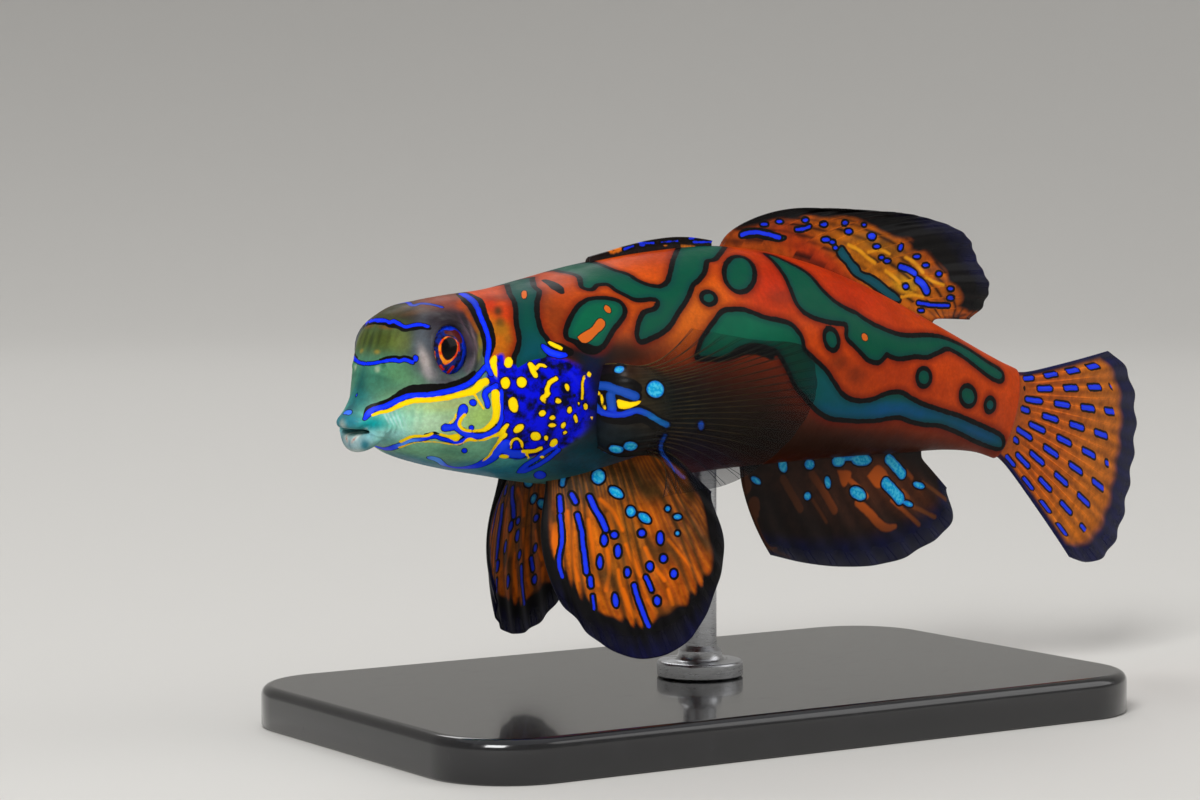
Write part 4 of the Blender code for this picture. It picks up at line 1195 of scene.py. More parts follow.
def painted(paint, ground, marks):
    """Lays the marks over the ground colour. marks lists which of them the piece has."""
    noise = paint.math("SUBTRACT", paint.noise(2600.0, 2.0), 0.5)
    sway = paint.math("MULTIPLY", noise, EDGE_SWAY * 2)
    colour = ground

    def inside(name, grow=0.0, blur=EDGE_SOFT):
        edge = paint.math("ADD", paint.stored(name), sway)
        return paint.ramp(edge, grow - blur, grow + blur, 1.0, 0.0)

    if "shade" in marks:
        shade = paint.ramp(paint.stored("band_edge"), 0.25, 0.85, 0.75, 0.0)
        colour = paint.mix(shade, colour, tone(96, 18, 4))
    if "black" in marks:
        colour = paint.mix(inside("black_edge"), colour, BLACK)
    if "gill" in marks:
        clouds = paint.ramp(paint.noise(1300.0, 4.0, 0.6), 0.36, 0.6)
        deep = paint.mix(clouds, tone(2, 2, 40), tone(2, 12, 220))
        colour = paint.mix(inside("gill_edge", 0.05, 0.12), colour, deep)
        colour = paint.mix(inside("gill_black"), colour, tone(4, 4, 30))
    if "band" in marks:
        depth = paint.ramp(paint.stored("band_edge"), -0.45, 0.0, 0.0, 0.55)
        fill = paint.mix(depth, paint.stored("band_tint", "Color"), tone(4, 52, 60))
        clouds = paint.math("MULTIPLY", paint.noise(1500.0, 4.0), 0.5)
        fill = paint.mix(clouds, fill, tone(6, 70, 58))
        colour = paint.mix(inside("band_edge"), colour, fill)
        rim = paint.math("MULTIPLY", inside("hole_edge", 0.06), 0.8)
        colour = paint.mix(rim, colour, BLACK)
        colour = paint.mix(inside("hole_edge"), colour, HOLE_ORANGE)
    if "orange" in marks:
        tint = paint.stored("orange_tint", "Color")
        colour = paint.mix(inside("orange_edge", 0.0, 0.09), colour, tint)
    if "blue" in marks:
        core = paint.ramp(paint.stored("blue_edge"), -0.16, -0.02, 0.16, 0.0)
        fill = paint.mix(core, paint.stored("line_tint", "Color"), tone(70, 120, 255))
        rim = RING_OUTLINE if "ringed" in marks else BLUE_OUTLINE
        colour = paint.mix(inside("blue_edge", rim), colour, BLACK)
        colour = paint.mix(inside("blue_edge"), colour, fill)
    if "cyan" in marks:
        colour = paint.mix(inside("cyan_edge", CYAN_OUTLINE), colour, BLACK)
        speck = paint.ramp(paint.noise(5200.0, 2.0), 0.42, 0.6, 0.0, 0.55)
        fill = paint.mix(speck, CYAN, tone(90, 214, 236))
        edge = paint.ramp(paint.stored("cyan_edge"), -0.16, 0.0, 0.0, 0.7)
        fill = paint.mix(edge, fill, tone(0, 70, 190))
        colour = paint.mix(inside("cyan_edge"), colour, fill)
    if "yellow" in marks:
        rim = paint.ramp(paint.stored("yellow_edge"), -0.1, 0.0, 0.0, 0.5)
        colour = paint.mix(inside("yellow_edge"), colour, paint.mix(rim, YELLOW, YELLOW_DEEP))
    return colour

# %% [markdown]
# ## The skin's finish
# The skin is smooth and coated with slime. Under a soft light it shows broad, gentle highlights
# over a saturated colour, so it gets a faint clear coat over a slightly rough base and a trace of
# light that passes through. Fine specks of pigment break up the ground colour.

# %% Skin
skin_paint = Paint("painted_skin")
mottle = skin_paint.ramp(skin_paint.noise(420.0, 5.0, 0.6), 0.35, 0.7)
specks = skin_paint.ramp(skin_paint.noise(4200.0, 3.0, 0.6), 0.35, 0.62)
ground = skin_paint.stored("ground", "Color")
ground = skin_paint.mix(skin_paint.math("MULTIPLY", mottle, 0.28), ground, tone(120, 34, 8), "MULTIPLY")
ground = skin_paint.mix(skin_paint.math("MULTIPLY", specks, 0.16), ground, tone(40, 22, 10))
skin_paint.set(
    Base_Color=painted(skin_paint, ground, ("shade", "black", "gill", "band", "blue", "yellow")),
    Roughness=skin_paint.ramp(skin_paint.noise(900.0, 3.0), 0.3, 0.7, 0.42, 0.58),
    Specular_IOR_Level=0.06,
    Coat_Weight=0.06,
    Coat_Roughness=0.22,
    Subsurface_Weight=0.05,
    Subsurface_Radius=(1.0, 0.45, 0.25),
    Subsurface_Scale=0.4 * MM,
    Normal=skin_paint.bump(skin_paint.noise(3600.0, 4.0, 0.55), 0.03 * MM, 0.5),
)
print(skin_paint.material.name, len(skin_paint.nodes), "nodes")

# %% The skin's mesh
count = len(SKIN_ROWS)
poles = [flat_skin[0].mean(0), flat_skin[-1].mean(0)]
skin_faces = list(skin_chart.quads)
first, last = count * SKIN_AROUND, count * SKIN_AROUND + 1
for j in range(SKIN_AROUND):
    k = (j + 1) % SKIN_AROUND
    skin_faces.append((first, k, j))
    skin_faces.append((last, (count - 1) * SKIN_AROUND + j, (count - 1) * SKIN_AROUND + k))
skin = mesh_object(
    "skin", np.vstack([posed(skin_points).reshape(-1, 3), posed(poles)]), skin_faces, skin_paint.material
)
write_marks(
    skin,
    {
        "ground": skin_ground,
        "band_tint": skin_band,
        "line_tint": skin_line,
        "band_edge": skin_band_edge,
        "hole_edge": skin_hole_edge,
        "blue_edge": skin_blue_edge,
        "yellow_edge": skin_yellow_edge,
        "gill_edge": skin_gill_edge,
        "gill_black": skin_gill_black,
        "black_edge": skin_black_edge,
    },
    poles=True,
)
settle(skin, ("head", "torso", "tail_stalk"))

# %% [markdown]
# ## The eyes
# The eye is a low dome. From the outside in, it shows a blue ring, a dark purple one, an uneven
# orange ring and a black pupil. Turning a profile round the eye's axis gives the dome, and the
# rings are painted by the same sight lines as the skin.

# %% Eyes
EYE_DOME, EYE_DOME_OUT = 2.0, 0.05  # mm, radius of the front and its centre's distance
EYE_BACK, EYE_BACK_OUT = 1.6, 0.5
EYE_AROUND, EYE_STEPS = 96, 60
EYE_BLUE = (spot(448, 350, 19.3, 24.5),)
EYE_DARK = (spot(447.5, 350.5, 14.6, 20.3),)
EYE_ORANGE = (
    patch(
        (447.5, 336.6), (442.6, 339.3), (439.2, 345), (438.9, 351), (440.6, 357.5), (443.8, 363.3),
        (446.2, 364.4), (450, 362), (454.6, 358), (457.4, 352.5), (458.6, 347), (457, 341), (452, 338),
    ),
    stroke(1.8, (433.8, 352), (434.6, 360), (437, 366.5), (441, 370.5)),
)
EYE_PUPIL = (
    patch(
        (449, 337.6), (444.5, 339.8), (441.8, 345), (441.6, 351), (443.4, 356.5), (447, 360),
        (451.5, 358), (455.5, 353.5), (457.2, 347), (455.8, 341), (452.5, 338),
    ),
)
EYE_RED = (
    stroke(2, (440.5, 366), (443, 369.5)),
    stroke(2.4, (448.6, 372), (452.5, 367.5)),
    stroke(1.6, (458.4, 343.5), (459.2, 350)),
)
EYE_BROWN = (stroke(5, (446, 332.5, 2), (452, 333, 3.5), (457, 334.5), (460, 339, 4)),)


def eye_profile():
    """Radius and distance along the axis, from the front pole to the back one, in mm."""
    edge = math.asin(EYE_BACK / EYE_DOME)
    t = np.linspace(0.0, edge, EYE_STEPS)
    front = np.stack([EYE_DOME * np.sin(t), EYE_DOME_OUT + EYE_DOME * np.cos(t)], 1)
    t = np.linspace(math.pi / 2, math.pi, 14)
    back = np.stack([EYE_BACK * np.sin(t), EYE_BACK_OUT + EYE_BACK * np.cos(t)], 1)
    return np.vstack([front, back])


print("eye profile of", len(eye_profile()), "rings")

# %% Paint of the eye
eye_paint = Paint("painted_eye")


def clouded(scale, detail, low, high, first, second):
    """Two colours of the iris in small clouds."""
    clouds = eye_paint.ramp(eye_paint.noise(scale, detail), low, high)
    return eye_paint.mix(clouds, tone(*first), tone(*second))


blue_ring = clouded(2400.0, 3.0, 0.3, 0.6, (4, 18, 96), (6, 56, 236))
dark_ring = clouded(2600.0, 3.0, 0.4, 0.65, (22, 14, 34), (8, 36, 130))
ring_colour = clouded(2200.0, 2.0, 0.38, 0.62, (236, 52, 6), (255, 150, 16))
iris = eye_paint.ramp(eye_paint.stored("blue_edge"), -0.04, 0.05, 1.0, 0.0)
eye_colour = eye_paint.mix(iris, tone(20, 18, 60), blue_ring)
for name, grow, fill in (
    ("dark_edge", 0.05, dark_ring),
    ("brown_edge", 0.04, tone(84, 26, 26)),
    ("orange_edge", 0.02, ring_colour),
    ("red_edge", 0.02, tone(206, 34, 8)),
    ("pupil_edge", 0.03, tone(130, 14, 6)),
    ("pupil_edge", 0.0, tone(4, 4, 6)),
):
    wave = eye_paint.math("MULTIPLY", eye_paint.math("SUBTRACT", eye_paint.noise(4200.0, 2.0), 0.5), 0.09)
    edge = eye_paint.math("ADD", eye_paint.stored(name), wave)
    eye_colour = eye_paint.mix(eye_paint.ramp(edge, grow - 0.03, grow + 0.03, 1.0, 0.0), eye_colour, fill)
eye_paint.set(
    Base_Color=eye_colour,
    Roughness=0.3,
    Specular_IOR_Level=0.06,
    Coat_Weight=0.3,
    Coat_Roughness=0.03,
    Coat_IOR=1.35,
    Normal=eye_paint.bump(eye_paint.ramp(eye_paint.stored("orange_edge"), -0.1, 0.1), 0.02 * MM, 0.6),
)
print(eye_paint.material.name, len(eye_paint.nodes), "nodes")

# %% Eyeballs
EYE_MARKS = {
    "blue_edge": EYE_BLUE,
    "dark_edge": EYE_DARK,
    "orange_edge": EYE_ORANGE,
    "pupil_edge": EYE_PUPIL,
    "red_edge": EYE_RED,
    "brown_edge": EYE_BROWN,
}
profile = eye_profile() * MM
turn = np.linspace(0.0, 2.0 * math.pi, EYE_AROUND, endpoint=False)[:, None]
for side, word in ((-1, "left"), (1, "right")):
    axis = eye_axis(side)
    level = np.array([1.0, 0.0, 0.0])
    upright = np.cross(level, axis) * side
    ring = np.cos(turn) * level - np.sin(turn) * upright
    rings = eye_centre(side) + profile[:, 0, None, None] * ring + profile[:, 1, None, None] * axis
    if side < 0:
        inner = Chart(rings[1:EYE_STEPS], polar=True)
        eye_fields = {}
        for name, marks in EYE_MARKS.items():
            field = inner.field(marks)
            behind = np.repeat(field[-1:], len(profile) - EYE_STEPS, 0)
            eye_fields[name] = np.concatenate([field[:1], field, behind])
    faces = tube_faces(len(profile), EYE_AROUND, EYE_AROUND)
    eyeball = mesh_object("eyeball_" + word, posed(rings.reshape(-1, 3)), faces, eye_paint.material)
    write_marks(eyeball, eye_fields)
    weld(eyeball, 1e-6)
    settle(eyeball, "eye_" + word)

# %% [markdown]
# ## Fins
# A fin is a thin skin stretched between rays. The membrane is a closed sheet a tenth of a
# millimetre thick, and it ripples a little between the rays. The rays are round rods that taper
# and fork towards the edge. They are many and they all follow the sheet, so Geometry Nodes
# make them: each ray is drawn as a plain line of points, and one tree turns all the lines of
# a fin into tapering rods.

# %% The tree that makes rays


def ray_tree():
    """Lines to tapering rods. The point attribute ray_width holds each point's share."""
    tree = bpy.data.node_groups.new("fin_rays", "GeometryNodeTree")
    sockets = {}
    for name, kind, way in (
        ("Geometry", "NodeSocketGeometry", "INPUT"),
        ("Ray radius", "NodeSocketFloat", "INPUT"),
        ("Sides", "NodeSocketInt", "INPUT"),
        ("Finish", "NodeSocketMaterial", "INPUT"),
        ("Geometry", "NodeSocketGeometry", "OUTPUT"),
    ):
        socket = tree.interface.new_socket(name=name, in_out=way, socket_type=kind)
        sockets[name, way] = socket.identifier
    nodes, links = tree.nodes, tree.links
    start, end = nodes.new("NodeGroupInput"), nodes.new("NodeGroupOutput")
    curve = nodes.new("GeometryNodeMeshToCurve")
    width = nodes.new("GeometryNodeInputNamedAttribute")
    width.data_type = "FLOAT"
    width.inputs["Name"].default_value = "ray_width"
    circle = nodes.new("GeometryNodeCurvePrimitiveCircle")
    rod = nodes.new("GeometryNodeCurveToMesh")
    rod.inputs["Fill Caps"].default_value = True
    smooth = nodes.new("GeometryNodeSetShadeSmooth")
    real = nodes.new("GeometryNodeRealizeInstances")
    finish = nodes.new("GeometryNodeSetMaterial")
    links.new(start.outputs["Geometry"], curve.inputs["Mesh"])
    links.new(start.outputs["Sides"], circle.inputs["Resolution"])
    links.new(start.outputs["Ray radius"], circle.inputs["Radius"])
    links.new(curve.outputs["Curve"], rod.inputs["Curve"])
    links.new(circle.outputs["Curve"], rod.inputs["Profile Curve"])
    links.new(width.outputs["Attribute"], rod.inputs["Scale"])
    links.new(rod.outputs["Mesh"], smooth.inputs["Geometry"])
    links.new(smooth.outputs["Geometry"], real.inputs["Geometry"])
    links.new(real.outputs["Geometry"], finish.inputs["Geometry"])
    links.new(start.outputs["Finish"], finish.inputs["Material"])
    links.new(finish.outputs["Geometry"], end.inputs["Geometry"])
    return tree, sockets


RAY_TREE, RAY_SOCKETS = ray_tree()


def grow_rays(name, lines, values, radius, sides, finish):
    """Rods along lines of points in the room; values hold each point's paint and width."""
    points = np.vstack(lines)
    edges, start = [], 0
    for line in lines:
        edges += [(start + i, start + i + 1) for i in range(len(line) - 1)]
        start += len(line)
    mesh = bpy.data.meshes.new(name)
    mesh.from_pydata(points.tolist(), edges, [])
    rays = bpy.data.objects.new(name, mesh)
    bpy.context.scene.collection.objects.link(rays)
    write_marks(rays, values)
    modifier = rays.modifiers.new("rays", "NODES")
    modifier.node_group = RAY_TREE
    modifier[RAY_SOCKETS["Ray radius", "INPUT"]] = radius
    modifier[RAY_SOCKETS["Sides", "INPUT"]] = sides
    modifier[RAY_SOCKETS["Finish", "INPUT"]] = finish
    bpy.context.view_layer.update()
    made = bpy.data.meshes.new_from_object(rays.evaluated_get(bpy.context.evaluated_depsgraph_get()))
    rays.modifiers.clear()
    rays.data = made
    return rays


print("ray tree with", len(RAY_TREE.nodes), "nodes")

# %% [markdown]
# ## Membranes
# The shape of each fin is a function of two numbers: u runs from the first ray to the last, and
# v from the root to the edge. The tables of root places, slopes and lengths are those of the
# solids. Only the root differs: it sinks into the skin, so that no gap shows.

# %% Shapes of the fins
FIRST_DORSAL_START, FIRST_DORSAL_END = 34.0, 51.2  # percent
FIRST_DORSAL_HEIGHT = 0.6
# root in percent, slope in degrees, length and bow in millimetres
SECOND_DORSAL = (
    (52.4, 17.0, 8.1, 0.7),
    (57.0, 19.5, 8.8, 0.6),
    (61.8, 22.0, 9.5, 0.5),
    (66.4, 23.5, 9.9, 0.4),
    (71.0, 23.0, 9.5, 0.3),
    (75.4, 19.5, 8.4, 0.2),
    (79.6, 16.0, 6.7, 0.1),
    (84.0, 11.0, 4.2, 0.0),
)
ANAL = (
    (56.5, 60.0, 5.9, 0.4),
    (61.5, 52.0, 7.3, 0.4),
    (66.5, 45.0, 8.3, 0.3),
    (71.5, 38.0, 8.8, 0.3),
    (76.5, 32.0, 8.3, 0.2),
    (81.5, 27.0, 7.2, 0.1),
    (86.0, 24.0, 4.5, 0.0),
)
CAUDAL_RAYS, CAUDAL_SPREAD = 10, 26.0
CAUDAL_MIDDLE, CAUDAL_OUTER, CAUDAL_ROOT = 15.5, 10.5, 2.5  # mm
# angle of the root, then the tip from it and the bow, backwards and upwards
PECTORAL_S, PECTORAL_SPREAD, LOBE_OUT = 27.8, 13.0, 0.95
PECTORAL = (
    (77.0, 4.6, 1.7, 0.5, -0.9),
    (83.0, 8.3, 1.8, 0.5, -0.6),
    (89.0, 11.3, 2.2, 0.3, -0.4),
    (95.0, 12.2, 1.2, 0.2, -0.1),
    (101.0, 11.8, 0.1, 0.3, 0.2),
    (108.0, 10.2, -1.1, 0.4, 0.5),
    (115.0, 7.7, -2.1, 0.8, 0.9),
    (122.0, 4.5, -3.2, 2.0, 0.9),
)
# root in percent and degrees, then the tip backwards, outwards and down, and the bow
PELVIC = (
    (25.2, 163.0, 0.1, 0.9, 6.2, -0.8),
    (26.6, 154.0, 0.9, 2.0, 8.9, -0.6),
    (29.4, 145.0, 1.8, 2.6, 10.2, -0.4),
    (32.6, 139.0, 2.8, 3.0, 9.5, -0.2),
    (36.0, 134.0, 3.2, 2.6, 6.7, 0.0),
    (38.6, 130.0, 3.2, 1.6, 3.2, 0.0),
)


def sunk(v, out, depth, soon=0.045):
    """Distance of a fin's middle from the skin: from depth below it up to its place."""
    return (out - (out + depth) * np.exp(-np.maximum(v, 0.0) / soon)) * MM


def columns(table, u):
    return np.moveaxis(smooth_rows(table, u * (len(table) - 1)), -1, 0)


def unpaired(table, edge):
    def surface(u, v):
        s, slope, length, bow = columns(table, u)
        root = body_point(row_at(s), 0.0 if edge > 0 else math.pi)
        slope = np.radians(slope)
        length = length * (1.0 - 0.22 * step_up(u, 0.9, 1.0) ** 2)
        reach, arch = length * MM * v, bow * MM * 4.0 * v * (1.0 - v)
        back = reach * np.cos(slope) - arch * np.sin(slope)
        up = reach * np.sin(slope) + arch * np.cos(slope) + sunk(v, 0.3, 0.6)
        return root + np.stack([back, 0 * back, edge * up], -1)

    return surface


def first_dorsal(u, v):
    s = FIRST_DORSAL_START + (FIRST_DORSAL_END - FIRST_DORSAL_START) * u
    rise = 0.35 + 0.65 * np.sin(math.pi * np.clip(u, 0.0, 1.0) ** 1.3)
    height = FIRST_DORSAL_HEIGHT * MM * rise * v
    up = height + sunk(v, 0.1, 0.5, 0.1)
    return body_point(row_at(s), 0.0) + np.stack([0.6 * height, 0 * height, up], -1)


def caudal(u, v):
    angle = math.radians(CAUDAL_SPREAD) * (1.0 - 2.0 * u)
    rounding = np.abs(1.0 - 2.0 * u) ** 3.5
    length = (CAUDAL_MIDDLE - (CAUDAL_MIDDLE - CAUDAL_OUTER) * rounding) * MM
    s = STANDARD_LENGTH + length * np.cos(angle) * v + sunk(v, 0.3, 1.2)
    return np.stack([s, 0 * s, CAUDAL_ROOT * MM * (1.0 - 2.0 * u) + length * np.sin(angle) * v], -1)


def pectoral(u, v):
    theta, back, up, bow_back, bow_up = columns(PECTORAL, u)
    theta = np.radians(theta)
    row = row_at(PECTORAL_S)
    root = body_point(row, theta) + sunk(v, 0.3 + LOBE_OUT, 0.5)[..., None] * body_normal(row, theta)
    bow, far = 4.0 * v * (1.0 - v), v * (0.6 + 0.4 * v) * (1.0 - 0.3 * step_up(u, 0.8, 1.0) ** 2)
    s = (back * far + bow_back * bow) * MM
    z = (up * far + bow_up * bow) * MM
    out = np.tan(math.radians(PECTORAL_SPREAD)) * np.hypot(back, up) * far * MM
    return root + np.stack([s, -out, z], -1)


def pelvic(u, v):
    s, theta, back, out, down, bow = columns(PELVIC, u)
    theta = np.radians(theta)
    row = row_at(s)
    root = body_point(row, theta) + sunk(v, 0.5, 0.5)[..., None] * body_normal(row, theta)
    arch = 4.0 * v * (1.0 - v)
    far = v * (1.0 - 0.3 * step_up(u, 0.84, 1.0) ** 2)
    return root + np.stack([back * far + bow * arch, -out * far, -down * far], -1) * MM


print("the tail fin has", CAUDAL_RAYS, "rays that fork")

# %% [markdown]
# ## Marks of the fins
# The fins are painted in the same way as the skin: dashes and drops of blue between the rays,
# each with a black edge, on orange that ends in a wide blue-black margin.

# %% Marks of the fins on the back and under the tail
DORSAL_BLUE = (
    stroke(4, (740.4, 235), (748, 232.6), (757.7, 232.5), (767.3, 234.5), (778, 237.6)),
    spot(763.5, 224.2, 3.5, 1.5), spot(778.8, 221.5, 3, 1.3), spot(804.8, 220, 2.6, 1.8),
    spot(823.1, 224.2, 3.2, 2),
    spot(844.6, 222.9, 2.6, 2), spot(863.5, 224.8, 1.6, 1.2), spot(848.1, 231.5, 3.2, 2.1),
    spot(871.2, 236.3, 3.6, 3),
    stroke(3, (796, 229.6), (802, 229), (808.7, 226.7)), spot(876, 246.5, 3, 1.5),
    spot(880.8, 257.5, 2.2, 1.5),
    spot(886.5, 260.8, 3, 1.5), spot(900, 247.3, 1.8, 3.2, 20), spot(916.3, 256.5, 3, 1.6),
    spot(925, 265.2, 3, 1.5),
    spot(938.5, 273.8, 2.6, 2), stroke(5, (900, 267), (907, 269), (913.5, 273)),
    stroke(6, (917, 280), (922, 284), (926, 291)),
    spot(904.8, 286.3, 2.4, 2.1), spot(950, 288.7, 2.6, 1.8), spot(950, 297.9, 3.2, 2),
    stroke(3, (917, 302.7), (932, 305), (948, 305.6)),
    spot(919.2, 310.4, 3, 1.2), spot(825, 239.6, 4, 2), spot(831.7, 242.1, 2.5, 1.6),
    spot(834.6, 247.9, 2, 1.6),
)
DORSAL_BAND = (
    patch(
        (836.5, 250.8), (838.5, 256.5), (844.2, 262.3), (848.1, 268.1), (851.9, 273.8), (859.6, 278.7),
        (867.3, 283.5), (875, 289.2), (882.7, 295), (890.4, 299.8), (896.2, 301.3), (898.1, 298.8),
        (892.3, 293.1), (884.6, 287.3), (876.9, 280.6), (869.2, 275.8), (859.6, 272.9), (856.7, 267.1),
        (851.9, 262.3), (848.1, 256.5), (844.2, 250.8), (841.3, 246.9),
    ),
    patch(
        (740.4, 233.5), (745.2, 230.6), (757.7, 230), (767.3, 231.9), (776.9, 236.3), (783.7, 237.7),
        (776.9, 239.6), (765.4, 237.7), (755.8, 235.8), (741.3, 236.3),
    ),
)
# Where the colours of the fin end and its dark margin starts
DORSAL_COLOURED = (
    patch(
        (700, 250), (722, 235), (757.7, 225.8), (776.9, 220), (796.2, 220), (807.7, 216.2), (823, 219),
        (850, 218.1), (869.2, 225.8), (880.8, 231.5), (892.3, 237.3), (909.6, 240.2), (911.5, 250.8),
        (926.9, 252.7), (934.6, 262.3), (944.2, 270), (948.1, 281.5), (957.7, 289.2), (961.5, 299.8),
        (955.8, 306.5), (967.3, 314.2), (940, 324), (900, 312), (850, 285), (800, 265), (750, 252),
    ),
)
DORSAL_ORANGE = (
    stroke(3.5, (848, 245), (858, 250), (866, 257), (874, 263)),
    stroke(3, (868, 252), (880, 250), (889, 254)),
    stroke(3.5, (905, 257), (914, 263), (922, 272)),
    stroke(3.5, (885, 271), (893, 277), (899, 283)),
    stroke(3, (925, 277), (934, 282), (943, 285)),
    stroke(3, (900, 297), (912, 295), (922, 297)),
)
ANAL_CYAN = (
    spot(780.9, 464.8, 4.5, 8, -15), spot(807.8, 464.2, 5, 5), spot(836.5, 461.2, 6.5, 5.5),
    stroke(5, (836, 461), (846.4, 458), (858, 459)),
    spot(859.9, 459.7, 10, 6), stroke(9, (886.8, 458.8), (894, 466), (901.2, 474.1)),
    spot(826.7, 482.2, 3, 6.5, -10),
    spot(857.2, 493.3, 9, 6, 35), stroke(10, (885, 483), (892, 490), (899.4, 498.3)),
    spot(806.9, 496, 3.5, 4), spot(918.2, 485.2, 6, 3, 20),
    spot(907.5, 503.7, 5, 2.5, 20), spot(754.9, 480.4, 6, 3, 35),
)
ANAL_ORANGE = (
    patch((835.7, 470), (850, 472), (842.8, 487)),
    patch((866, 476), (877, 465), (888, 477.7), (876.9, 488)),
    stroke(8, (857.2, 502.8), (868, 512), (877, 522), (886, 528), (894.9, 526.2, 4)),
    stroke(7, (810.5, 474.1), (822, 490), (833.9, 510)),
    stroke(7, (781.8, 478.6), (790, 492), (799.8, 508.2)),
    stroke(4, (891.3, 500.1), (904, 511), (918.2, 524.4)),
    stroke(4, (905.7, 503.7), (920, 510), (934.4, 517.2)),
    stroke(4, (902, 491.2), (907.5, 497.4)), stroke(4, (905.7, 471.4), (911, 477.7)),
    stroke(3, (921.8, 482.2), (933, 490), (945.1, 499.2)),
    stroke(9, (722, 484, 12), (729, 496, 11), (736, 510, 5)),
    stroke(2, (736.9, 513.6), (749.5, 531.5), (763.8, 545.9), (789, 556.7)),
    stroke(5, (846, 478), (858, 488), (866, 496)), stroke(3, (812, 500), (820, 512), (826, 522)),
)
print(len(DORSAL_BLUE), "blue marks on the second dorsal fin")

# %% Marks of the paired fins
PELVIC_BLUE = (
    stroke(4, (560.6, 497.9), (560.9, 511.1)),
    stroke(
        3.5, (560.6, 516), (561.8, 529.9), (562, 542.4), (559.5, 556.4), (559.9, 567.5), (562.7, 576.6),
    ),
    stroke(4.5, (571.8, 495.1), (575.3, 502)),
    stroke(4, (577.4, 515.3), (581.5, 531.3), (582.9, 545.2), (585, 559.1), (586.4, 572.4)),
    stroke(5, (589.2, 497.9), (595.5, 510.4), (601, 519.4), (605.2, 529.2)),
    stroke(4, (590.2, 578), (590.7, 585.6)), stroke(2.5, (592.7, 596.1), (594.1, 609.3)),
    stroke(4, (633.8, 585.6), (637.3, 598.1), (641.4, 609.3), (648.4, 626.7)),
    stroke(3.5, (645.6, 577.3), (651.2, 589.8)),
    spot(603.8, 540.1, 2.7, 5.5), spot(614, 535, 3, 3), spot(617.5, 551.1, 2.8, 6),
    spot(599.6, 561.9, 2.2, 6.5), spot(627.1, 572.4, 2.5, 4.5),
    spot(641.4, 533.4, 3.3, 3.3), spot(659.8, 538.5, 3, 6), spot(663, 558.7, 3, 3.5),
    spot(649.5, 566.4, 3, 4), spot(673.5, 573.8, 3, 4),
    spot(615.2, 600.2, 2.5, 7, -8), spot(656.8, 600.9, 3, 4.5, -10),
)
PELVIC_CYAN = (
    spot(630.3, 511.8, 4.5, 5), spot(644.2, 518.1, 7, 4, 35), spot(615.2, 493, 8, 4.5, 30),
    spot(597.6, 477.7, 6.5, 7), spot(667.2, 509, 2.5, 2.5),
    spot(677, 517, 4, 2.5), spot(677, 533.4, 2.2, 2.2), stroke(4, (565, 470), (563, 485)),
)
PELVIC_COLOURED = (
    patch(
        (552, 470), (551, 500), (551, 530), (553, 550), (555, 560), (567, 572), (576, 586), (588.5, 601),
        (603.8, 613.5), (617, 615.6), (638, 624.6), (652.6, 619), (667.9, 616.3), (677.7, 607.9),
        (683.2, 603.7), (693, 591.2), (704.8, 575.9), (712, 550), (705, 520), (695, 495), (680, 470),
        (640, 455), (590, 455),
    ),
)
PELVIC_ORANGE = (
    stroke(6, (555.8, 525.7), (555, 540), (555, 553.6)),
    stroke(4, (568, 512), (571, 535), (573, 560), (578, 580)),
    stroke(4, (588, 520), (592, 545), (594, 565), (598, 585)),
    stroke(5, (608, 515), (612, 528)), stroke(4, (607, 550), (609, 570), (606, 590)),
    stroke(4, (626, 545), (632, 560), (640, 576)), stroke(4, (645, 548), (654, 566), (664, 580)),
    stroke(4, (600, 500), (612, 512), (622, 530)), stroke(3, (668, 540), (678, 552), (690, 566)),
    stroke(5, (622, 590), (628, 604), (634, 616)), stroke(4, (648, 600), (656, 612)),
    stroke(4, (668, 590), (672, 604)),
    stroke(3, (625, 600), (620, 585), (618, 570)),
)
PECTORAL_BLUE = (
    stroke(8, (604.9, 384.8), (613.1, 385.5), (619.9, 388.9), (626.6, 391.6), (633.4, 395.6)),
    stroke(7, (615.8, 394.3), (617.1, 406.5)),
    stroke(
        5.5, (600.2, 398.4), (604.9, 406.5), (610.4, 411.9), (623.9, 412.6), (634.8, 408.5),
        (644.3, 411.9), (651.1, 416), (657.9, 420.1), (666, 424.1),
    ),
    stroke(4, (664.3, 434.9), (660.6, 448.2), (670.2, 464.4), (683.4, 477.7)),
    spot(701, 425.3, 3, 5),
)
PECTORAL_CYAN = (
    spot(620.5, 368.8, 4, 3.5), spot(653.2, 389.2, 9, 8), spot(629.6, 443, 6, 5),
    spot(617.1, 446.7, 6, 4.5), spot(581.7, 451.1, 7, 4.5),
    spot(601.6, 454.8, 5, 4.5), spot(620.8, 465.9, 11, 7, 25), spot(597.9, 474.7, 6, 7),
    spot(568.5, 468.8, 5, 8),
)
PECTORAL_YELLOW = (
    patch((620.5, 398), (622.5, 406.5), (632, 405.5), (639, 400), (630, 400.5)),
    stroke(3, (600.2, 382.1), (603.6, 390.2), (608.3, 396.3), (611, 406.5)),
    spot(598.1, 395, 1.5, 2.5),
)
PECTORAL_BLACK = (
    stroke(12, (604, 382), (614, 379), (624, 382), (634, 388)),
    stroke(7, (602, 404), (612, 417), (626, 419), (640, 417), (652, 424)),
)
print("marks of the fins:", len(DORSAL_BLUE) + len(ANAL_CYAN) + len(PELVIC_BLUE) + len(PECTORAL_CYAN))

# %% [markdown]
# ## The fins' finish
# A membrane lets light through, most of all near its edge and in the pectoral fins, where the
# bands of the flank show through it. An alpha below one gives this in any viewer. The rays get
# the same paint, a little lighter, so that they stand out as on the real fin.

# %% Fin materials
FIN_MARKS = ("black", "band", "orange", "blue", "ringed", "cyan", "yellow")


